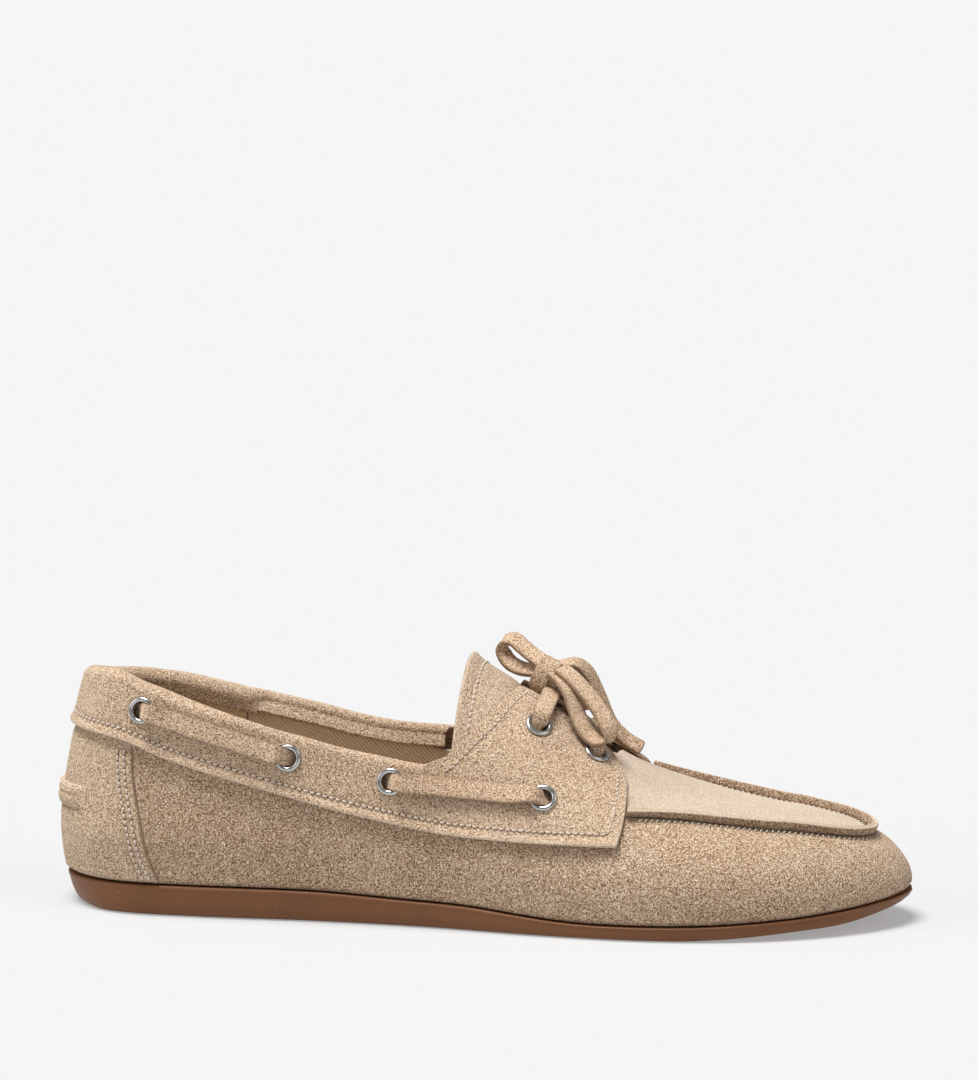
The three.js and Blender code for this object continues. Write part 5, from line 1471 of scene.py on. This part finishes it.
    def thong(self) -> None:
        """Sweeps the thong along its course, smoothed between waypoints."""
        self.route()
        p, b, w = (np.array([q[i] for q in self.path]) for i in range(3))
        for i in range(1, len(b)):
            b[i] = -b[i] if np.dot(b[i], b[i - 1]) < 0 else b[i]
        k = travelled(p)
        t = np.linspace(0, k[-1], 900)
        line, sides, half_w = smooth_curve(k, p, t), smooth_curve(k, b, t), np.interp(t, k, w)
        skin = swept(line, sides, half_w, self.thick / 2, 20, 0.38)
        write_piece("lace_thong", skin, SUEDE_LACE_EDGE_SHADE, "lace")

    def ribbon(self, part: Ribbon) -> None:
        """Sweeps one loop or tail along a smooth curve, its edges turning with it."""
        k, t = walked(part.points), np.linspace(0, 1, 110)
        sides = smooth_curve(k, np.broadcast_to(part.sides, np.shape(part.points)), t)
        skin = swept(smooth_curve(k, part.points, t), unit(sides), part.wide / 2, self.thick / 2, 20, 0.5)
        write_piece(f"bow_{part.body}", skin, SUEDE_LACE_EDGE_SHADE, f"lace_{part.body}", part.body)

    def tied_knot(self) -> None:
        """The knot: a worn lump with one turn of the thong leaning over it."""
        k, rows, cols = np.array(self.knot), 26, 36
        a = np.linspace(-np.pi / 2, np.pi / 2, rows)[:, None]
        b = (TAU * np.arange(cols) / cols)[None]
        ca, sa, cb, sb = (np.sign(q) * np.abs(q) ** 0.8 for q in (np.cos(a), np.sin(a), np.cos(b), np.sin(b)))
        lump = np.stack([3.5 * ca * cb, 3.9 * ca * sb, 4.7 * sa + 0.3 + 0 * b], -1)
        lump = (k + lump * (1 + 0.05 * np.sin(5 * b + 3 * np.sin(a)))[..., None]).reshape(-1, 3)
        core = Skin(lump, tube_faces(rows, cols), np.zeros((len(lump), 2)), np.zeros(len(lump)))
        t = np.linspace(0.12 * np.pi, 1.98 * np.pi, 90)[:, None]
        lean, flat = np.array([0.5, 0.0, 0.87]), np.array([0.87, 0.0, -0.5])
        loop = (k + [0, 0, 0.6] + lean * 5.2 * np.cos(t) + np.array([0, 4.5, 0]) * np.sin(t)
                + flat * (0.5 * np.cos(2 * t) - 0.4))
        side = flat + 0.25 * np.concatenate([0 * t, np.cos(t), -np.sin(t)], 1)
        both = core.merged(swept(loop, side, 2.7, 0.7, 20, 0.5))
        write_piece("lace_knot_wrapped", both, SUEDE_LACE_EDGE_SHADE, "lace_knot")

    def build(self) -> None:
        """Makes the thong, the knot, and the loops and tails."""
        self.thong()
        self.tied_knot()
        for part in BOW:
            self.ribbon(part)


@dataclass
class Bottom:
    """Outsole and the footbed inside."""

    gap: float = 0.3  # between the sole and the upper
    board: float = 3.8  # top of the insole board over the feather line
    sipe_pitch: float = 4.4
    sipe_deep: float = 0.75

    def __post_init__(self) -> None:
        """Spring of the sole under the toe."""
        spring = table(((0, 0), (190, 0), (197, 0.1), (211, 0.8), (226, 2), (240, 2.9), (250, 4.3),
                        (258, 6.2)))
        self.rise = lambda x: np.where(x < 190, 0.0, np.maximum(spring(x), 0))

    @staticmethod
    def welded(points: Array, faces: Array) -> Skin:
        """A skin with coincident points merged and faces that lost a side dropped or made triangles."""
        key = np.round(points * 50).astype(np.int64)
        _, first, index = np.unique(key, axis=0, return_index=True, return_inverse=True)
        index = index.reshape(-1)
        kept = []
        for f in index[faces].tolist():
            g = [f[i] for i in range(len(f)) if f[i] != f[i - 1]]
            if len(set(g)) == len(g) and len(g) > 2:
                kept.append(g)
        return Skin(points[first], kept)

    def turned(self, grid: Array) -> Skin:
        """Closed skin of a grid whose rows run from the top's middle over the rim to the bottom's."""
        return self.welded(grid.reshape(-1, 3), grid_faces(*grid.shape[:2], True, False))

    def outsole(self) -> None:
        """Gum sole: a side wall with a fine lip, a rounded lower edge, and wavy sipes under the tread.

        Each ring of the sole is the outline pushed out by the profile's first number at the share of
        the height given by its second; inside the edge the rings shrink towards the spine.
        """
        u = stations((1.0, 31, 34), (32.5, 221, 250), (222.5, 256.4, 40))
        o, sp, wide, d, zf, _, _ = LAST.section(u)
        heel = ease(16, 2, o[:, 0])[:, None]
        toe = ease(236, 255, o[:, 0])[:, None]
        prof = np.array([[-4.0, 1.0], [-0.2, 1.0], [0.35, 1.0], [0.72, 0.955], [0.8, 0.9], [0.62, 0.83],
                         [0.6, 0.76], [0.62, 0.6], [0.55, 0.42], [0.4, 0.28], [0.1, 0.16], [-0.5, 0.07],
                         [-1.4, 0.015], [-2.6, 0.0]])
        top, low = (zf - self.gap)[:, None], self.rise(o[:, 0])[:, None]
        share = prof[None, :, 1]
        push = prof[None, :, 0] + 0.25 - (2.6 * heel + 2.0 * toe) * (1 - share) ** 1.3
        p = np.concatenate([o[:, None] + d[:, None] * push[..., None],
                            (low + (top - low) * share)[..., None]], -1)
        rho = np.linspace(1, 0, 60)[None, 1:]
        reach = (wide[:, None] + push[:, -1:]) * rho
        plan = sp[:, None] + d[:, None] * reach[..., None]
        x, y = plan[..., 0], plan[..., 1]
        away = wide[:, None] + push[:, -1:] - reach
        phase = np.mod(x + 1.6 * np.sin(y / 3.2), self.sipe_pitch) - self.sipe_pitch / 2
        waist = 1 - 0.9 * ease(92, 98, x) * ease(150, 144, x)
        sipe = self.sipe_deep * np.exp(-(phase / 0.42) ** 2) * ease(4.0, 6.0, away) * waist
        rim = 0.5 * np.exp(-((away - 3.2) / 0.5) ** 2)
        bottom = np.concatenate([plan, (self.rise(x) + sipe + rim)[..., None]], -1)
        cover = sp[:, None] + d[:, None] * ((wide - 4)[:, None] * np.linspace(0, 1, 8)[None, :-1])[..., None]
        lid = np.concatenate([cover, (LAST.feather(cover[..., 0]) - self.gap)[..., None]], -1)
        skin = self.turned(np.concatenate([lid, p, bottom], 1))
        write_piece("outsole_gum", skin, GUM, "outsole")

    def footbed(self) -> None:
        """Suede-covered foam footbed, dished at the heel, its rim rounded down to the board."""
        u = stations((3.0, 31, 24), (33, 221, 100), (223, 254, 24))
        _, sp, _, _, zf, _, _ = LAST.section(u)
        span = LAST.layer(u, LAST.v_of_z(u, zf + self.board + 3.0 + 1.5), -5.0)[:, :2] - sp
        share, tall = np.array([(0.0, 3.0), (0.2, 3.0), (0.4, 3.02), (0.6, 3.12), (0.8, 3.45), (0.9, 3.75),
                                (0.96, 4.0), (0.985, 4.05), (0.998, 3.8), (1.0, 3.2), (0.998, 1.4),
                                (0.985, 0.2), (0.9, 0.0), (0.5, 0.0), (0.0, 0.0)]).T
        plan = sp[:, None] + span[:, None] * share[None, :, None]
        x, y = plan[..., 0], plan[..., 1]
        soft = 0.12 * waves(x, y, 12.0, 0.9) * (tall > 2.5)
        z = LAST.feather(x) + self.board + tall + soft
        skin = self.turned(np.concatenate([plan, z[..., None]], -1))
        obj = write_piece("footbed_suede", skin, SUEDE_INSIDE, "footbed")

    def build(self) -> None:
        """Makes the outsole and footbed."""
        self.outsole()
        self.footbed()


@dataclass
class Sewing:
    """All the visible rows of thread on the upper."""

    band: StitchRow = field(default_factory=lambda: StitchRow(width=0.62, height=0.38))
    # Dark dashes at the needle holes between the stitches: painted shade of the holes.
    band_holes: StitchRow = field(
        default_factory=lambda: StitchRow(length=0.42, width=0.5, height=0.0, between=True))
    cap: StitchRow = field(default_factory=lambda: StitchRow(pitch=1.95, width=0.75, height=0.4))
    cap_holes: StitchRow = field(
        default_factory=lambda: StitchRow(pitch=1.95, length=0.4, width=0.5, height=0.0, between=True))
    tab: StitchRow = field(default_factory=lambda: StitchRow(pitch=1.9, length=1.5, width=0.5, height=0.25))
    whip_slant: float = 0.95
    cap_lift: float = 0.75  # of the heel cap's rows over the last

    @staticmethod
    def flap_row(side: Side) -> Tuple[Array, Array]:
        """The row that follows the band's lower edge, the flap's front, its gap edge and the throat."""
        x = np.linspace(0.6, 171.5, 240)
        low_u = np.mod(LAST.w_of_x(x, side), 1)
        low_v = LAST.v_of_z(low_u, PATTERN.collar_low(x) + 3.0)
        t = np.linspace(0.1, 1.0, 40)
        front_x = PATTERN.saddle_x + 1.3 * np.sin(np.pi * t) - 2.9
        front_u = LAST.u_of_x(front_x, side)
        start = LAST.v_of_z(front_u, PATTERN.collar_low(front_x))
        stop = PATTERN.flap_top(np.array([LAST.w_of_x(PATTERN.saddle_x, side)]))[0] + 0.02
        gap_x = np.linspace(169.5, 142, 60)
        gap_v = PATTERN.gap_v(LAST.w_of_x(gap_x, side), 2.7) - 0.2 * np.maximum((gap_x - 161) / 12, 0) ** 2.4
        throat_x = np.linspace(PATTERN.throat_end, 119.4, 60)
        return (np.r_[low_u, front_u, LAST.u_of_x(gap_x, side), LAST.u_of_x(throat_x + 2.6, side)],
                np.r_[low_v, start + (stop - start) * t, gap_v, PATTERN.throat(throat_x) - 0.012])

    def build(self) -> None:
        """Sews the band, heel cap, seam and tab."""
        for side in Side:
            tag = side.name.lower()
            p, n, _ = LAST.frame_at(*self.flap_row(side))
            line = rounded(spaced(np.hstack([p + n * (PATTERN.band_in + PATTERN.suede + 0.05), n]), 0.8), 6)
            row = line[:, :3], unit(line[:, 3:])
            write_piece(f"band_stitches_{tag}", self.band.skin(*row), THREAD_PALE)
            write_piece(f"band_needle_holes_{tag}", self.band_holes.skin(*row), THREAD_DARK_AND_HOLE_SHADE)
            for k, gap in (("front", -2.3), ("back", -4.4)):
                z = np.linspace(11.0, 50.5, 80)
                p, n, _ = LAST.frame_at(*LAST.uv_at_side(PATTERN.heel_seam_x(z) + gap, z, side))
                row = p + n * self.cap_lift, n
                write_piece(f"heel_cap_stitches_{tag}_{k}", self.cap.skin(*row), THREAD_PALE)
                write_piece(f"heel_cap_needle_holes_{tag}_{k}", self.cap_holes.skin(*row), THREAD_DARK_AND_HOLE_SHADE)
        q = np.linspace(0.06, 0.95, 600)
        for name, away, turn, off in (("outer", 1.7, 1, 0.0), ("inner", -1.6, -1, -0.05)):
            x, y = (PATTERN.seam(q) + PATTERN.seam_normal(q) * away).T
            p, up = LAST.crown_point(x, y, off), LAST.crown_point(x, y, off + 1)
            whip = StitchRow(pitch=1.75, width=0.5, height=0.32, slant=turn * self.whip_slant)
            write_piece(f"seam_stitches_{name}", whip.skin(p, unit(up - p)), THREAD_PALE)
        w = np.linspace(*LAST.w_span(11.0), 100)
        u = np.mod(w, 1)
        for name, z, lift, thread in (("upper", 36.4, Upper.tab_lift(u, 2.0), THREAD_PALE),
                                      ("lower", 29.9, np.full(len(u), 0.62), THREAD_DARK_AND_HOLE_SHADE)):
            p, n, _ = LAST.frame_at(u, LAST.v_of_z(u, z))
            write_piece(f"heel_tab_stitches_{name}", self.tab.skin(p + n * lift[:, None], n), thread)


@dataclass
class Studio:
    """Pale floor, soft light and the camera."""

    target: Tuple[float, float, float] = (0.002387, 0.000918, 0.038)
    distance: float = 1.8
    tall: float = 1080.0  # height of the view that focal and drop are measured in
    focal: float = 5940.0
    drop: float = 244.5  # of the target below the middle of the view

    def camera(self) -> None:
        """Camera 10 degrees up and 10 round towards the toe, aimed so that the shoe sits low."""
        az, el = np.radians(10.0), np.radians(10.0)
        back = Vector((np.sin(az) * np.cos(el), -np.cos(az) * np.cos(el), np.sin(el)))
        right = Vector((np.cos(az), np.sin(az), 0))
        up = back.cross(right)
        tilt = np.arctan(self.drop / self.focal)
        ahead = -back * np.cos(tilt) + up * np.sin(tilt)
        data = bpy.data.cameras.new("camera")
        data.sensor_width, data.lens = 36.0, self.focal * 36 / self.tall
        data.clip_start, data.clip_end = 0.1, 50
        cam = placed("camera", data)
        cam.location = Vector(self.target) + back * self.distance
        cam.rotation_mode = "QUATERNION"
        cam.rotation_quaternion = ahead.to_track_quat("-Z", "Y")
        bpy.context.scene.camera = cam

    @staticmethod
    def lamp(name: str, toward: Tuple, spread: float, strength: float) -> None:
        """One wide, even light from far away: its direction, its spread in degrees and its strength."""
        data = bpy.data.lights.new(name, "SUN")
        data.angle, data.energy = np.radians(spread), strength
        lamp = placed(name, data)
        lamp.rotation_mode = "QUATERNION"
        lamp.rotation_quaternion = (-Vector(toward)).to_track_quat("-Z", "Y")

    def build(self) -> None:
        """Floor, world, lamps and camera."""
        white, half = (1.0, 1.0, 1.0), 30.0
        corners = [(-half, -half, 0), (half, -half, 0), (half, half, 0), (-half, half, 0)]
        mesh = bpy.data.meshes.new("floor")
        mesh.from_pydata(corners, [], [(0, 1, 2, 3)])
        floor = placed("floor", mesh)
        floor.location.z = -0.0001
        paint = bpy.data.materials.new("floor_paint")
        paint.use_nodes = True
        tree = Tree(paint.node_tree)
        tree.put(tree.tree.nodes["Principled BSDF"], Base_Color=(0.36, 0.36, 0.36), Roughness=1.0,
                 Specular_IOR_Level=0.0, Emission_Color=white, Emission_Strength=0.32)
        mesh.materials.append(paint)
        world = bpy.data.worlds.new("studio")
        world.use_nodes = True
        tree = Tree(world.node_tree)
        tree.put(tree.tree.nodes["Background"], Color=white, Strength=0.25)
        bpy.context.scene.world = world
        bpy.context.scene.view_settings.view_transform = "Standard"
        self.lamp("top", (-0.2, -0.14, 1.0), 28.0, 4.1)
        self.lamp("left", (-1.0, -0.6, 0.5), 30.0, 0.55)
        self.lamp("right", (1.0, -0.35, 0.7), 30.0, 0.4)
        self.camera()


def main() -> None:
    """Builds the shoe in order."""
    logging.basicConfig(level=logging.INFO, format="%(message)s")
    eyelets = Eyelets()
    parts = [Bottom(), Upper(eyelets), Lining(), Tongue(), eyelets, Lace(eyelets), Sewing(), Studio()]
    for part in parts:
        LOG.info("building %s", type(part).__name__)
        part.build()


if __name__ == "__main__":
    main()
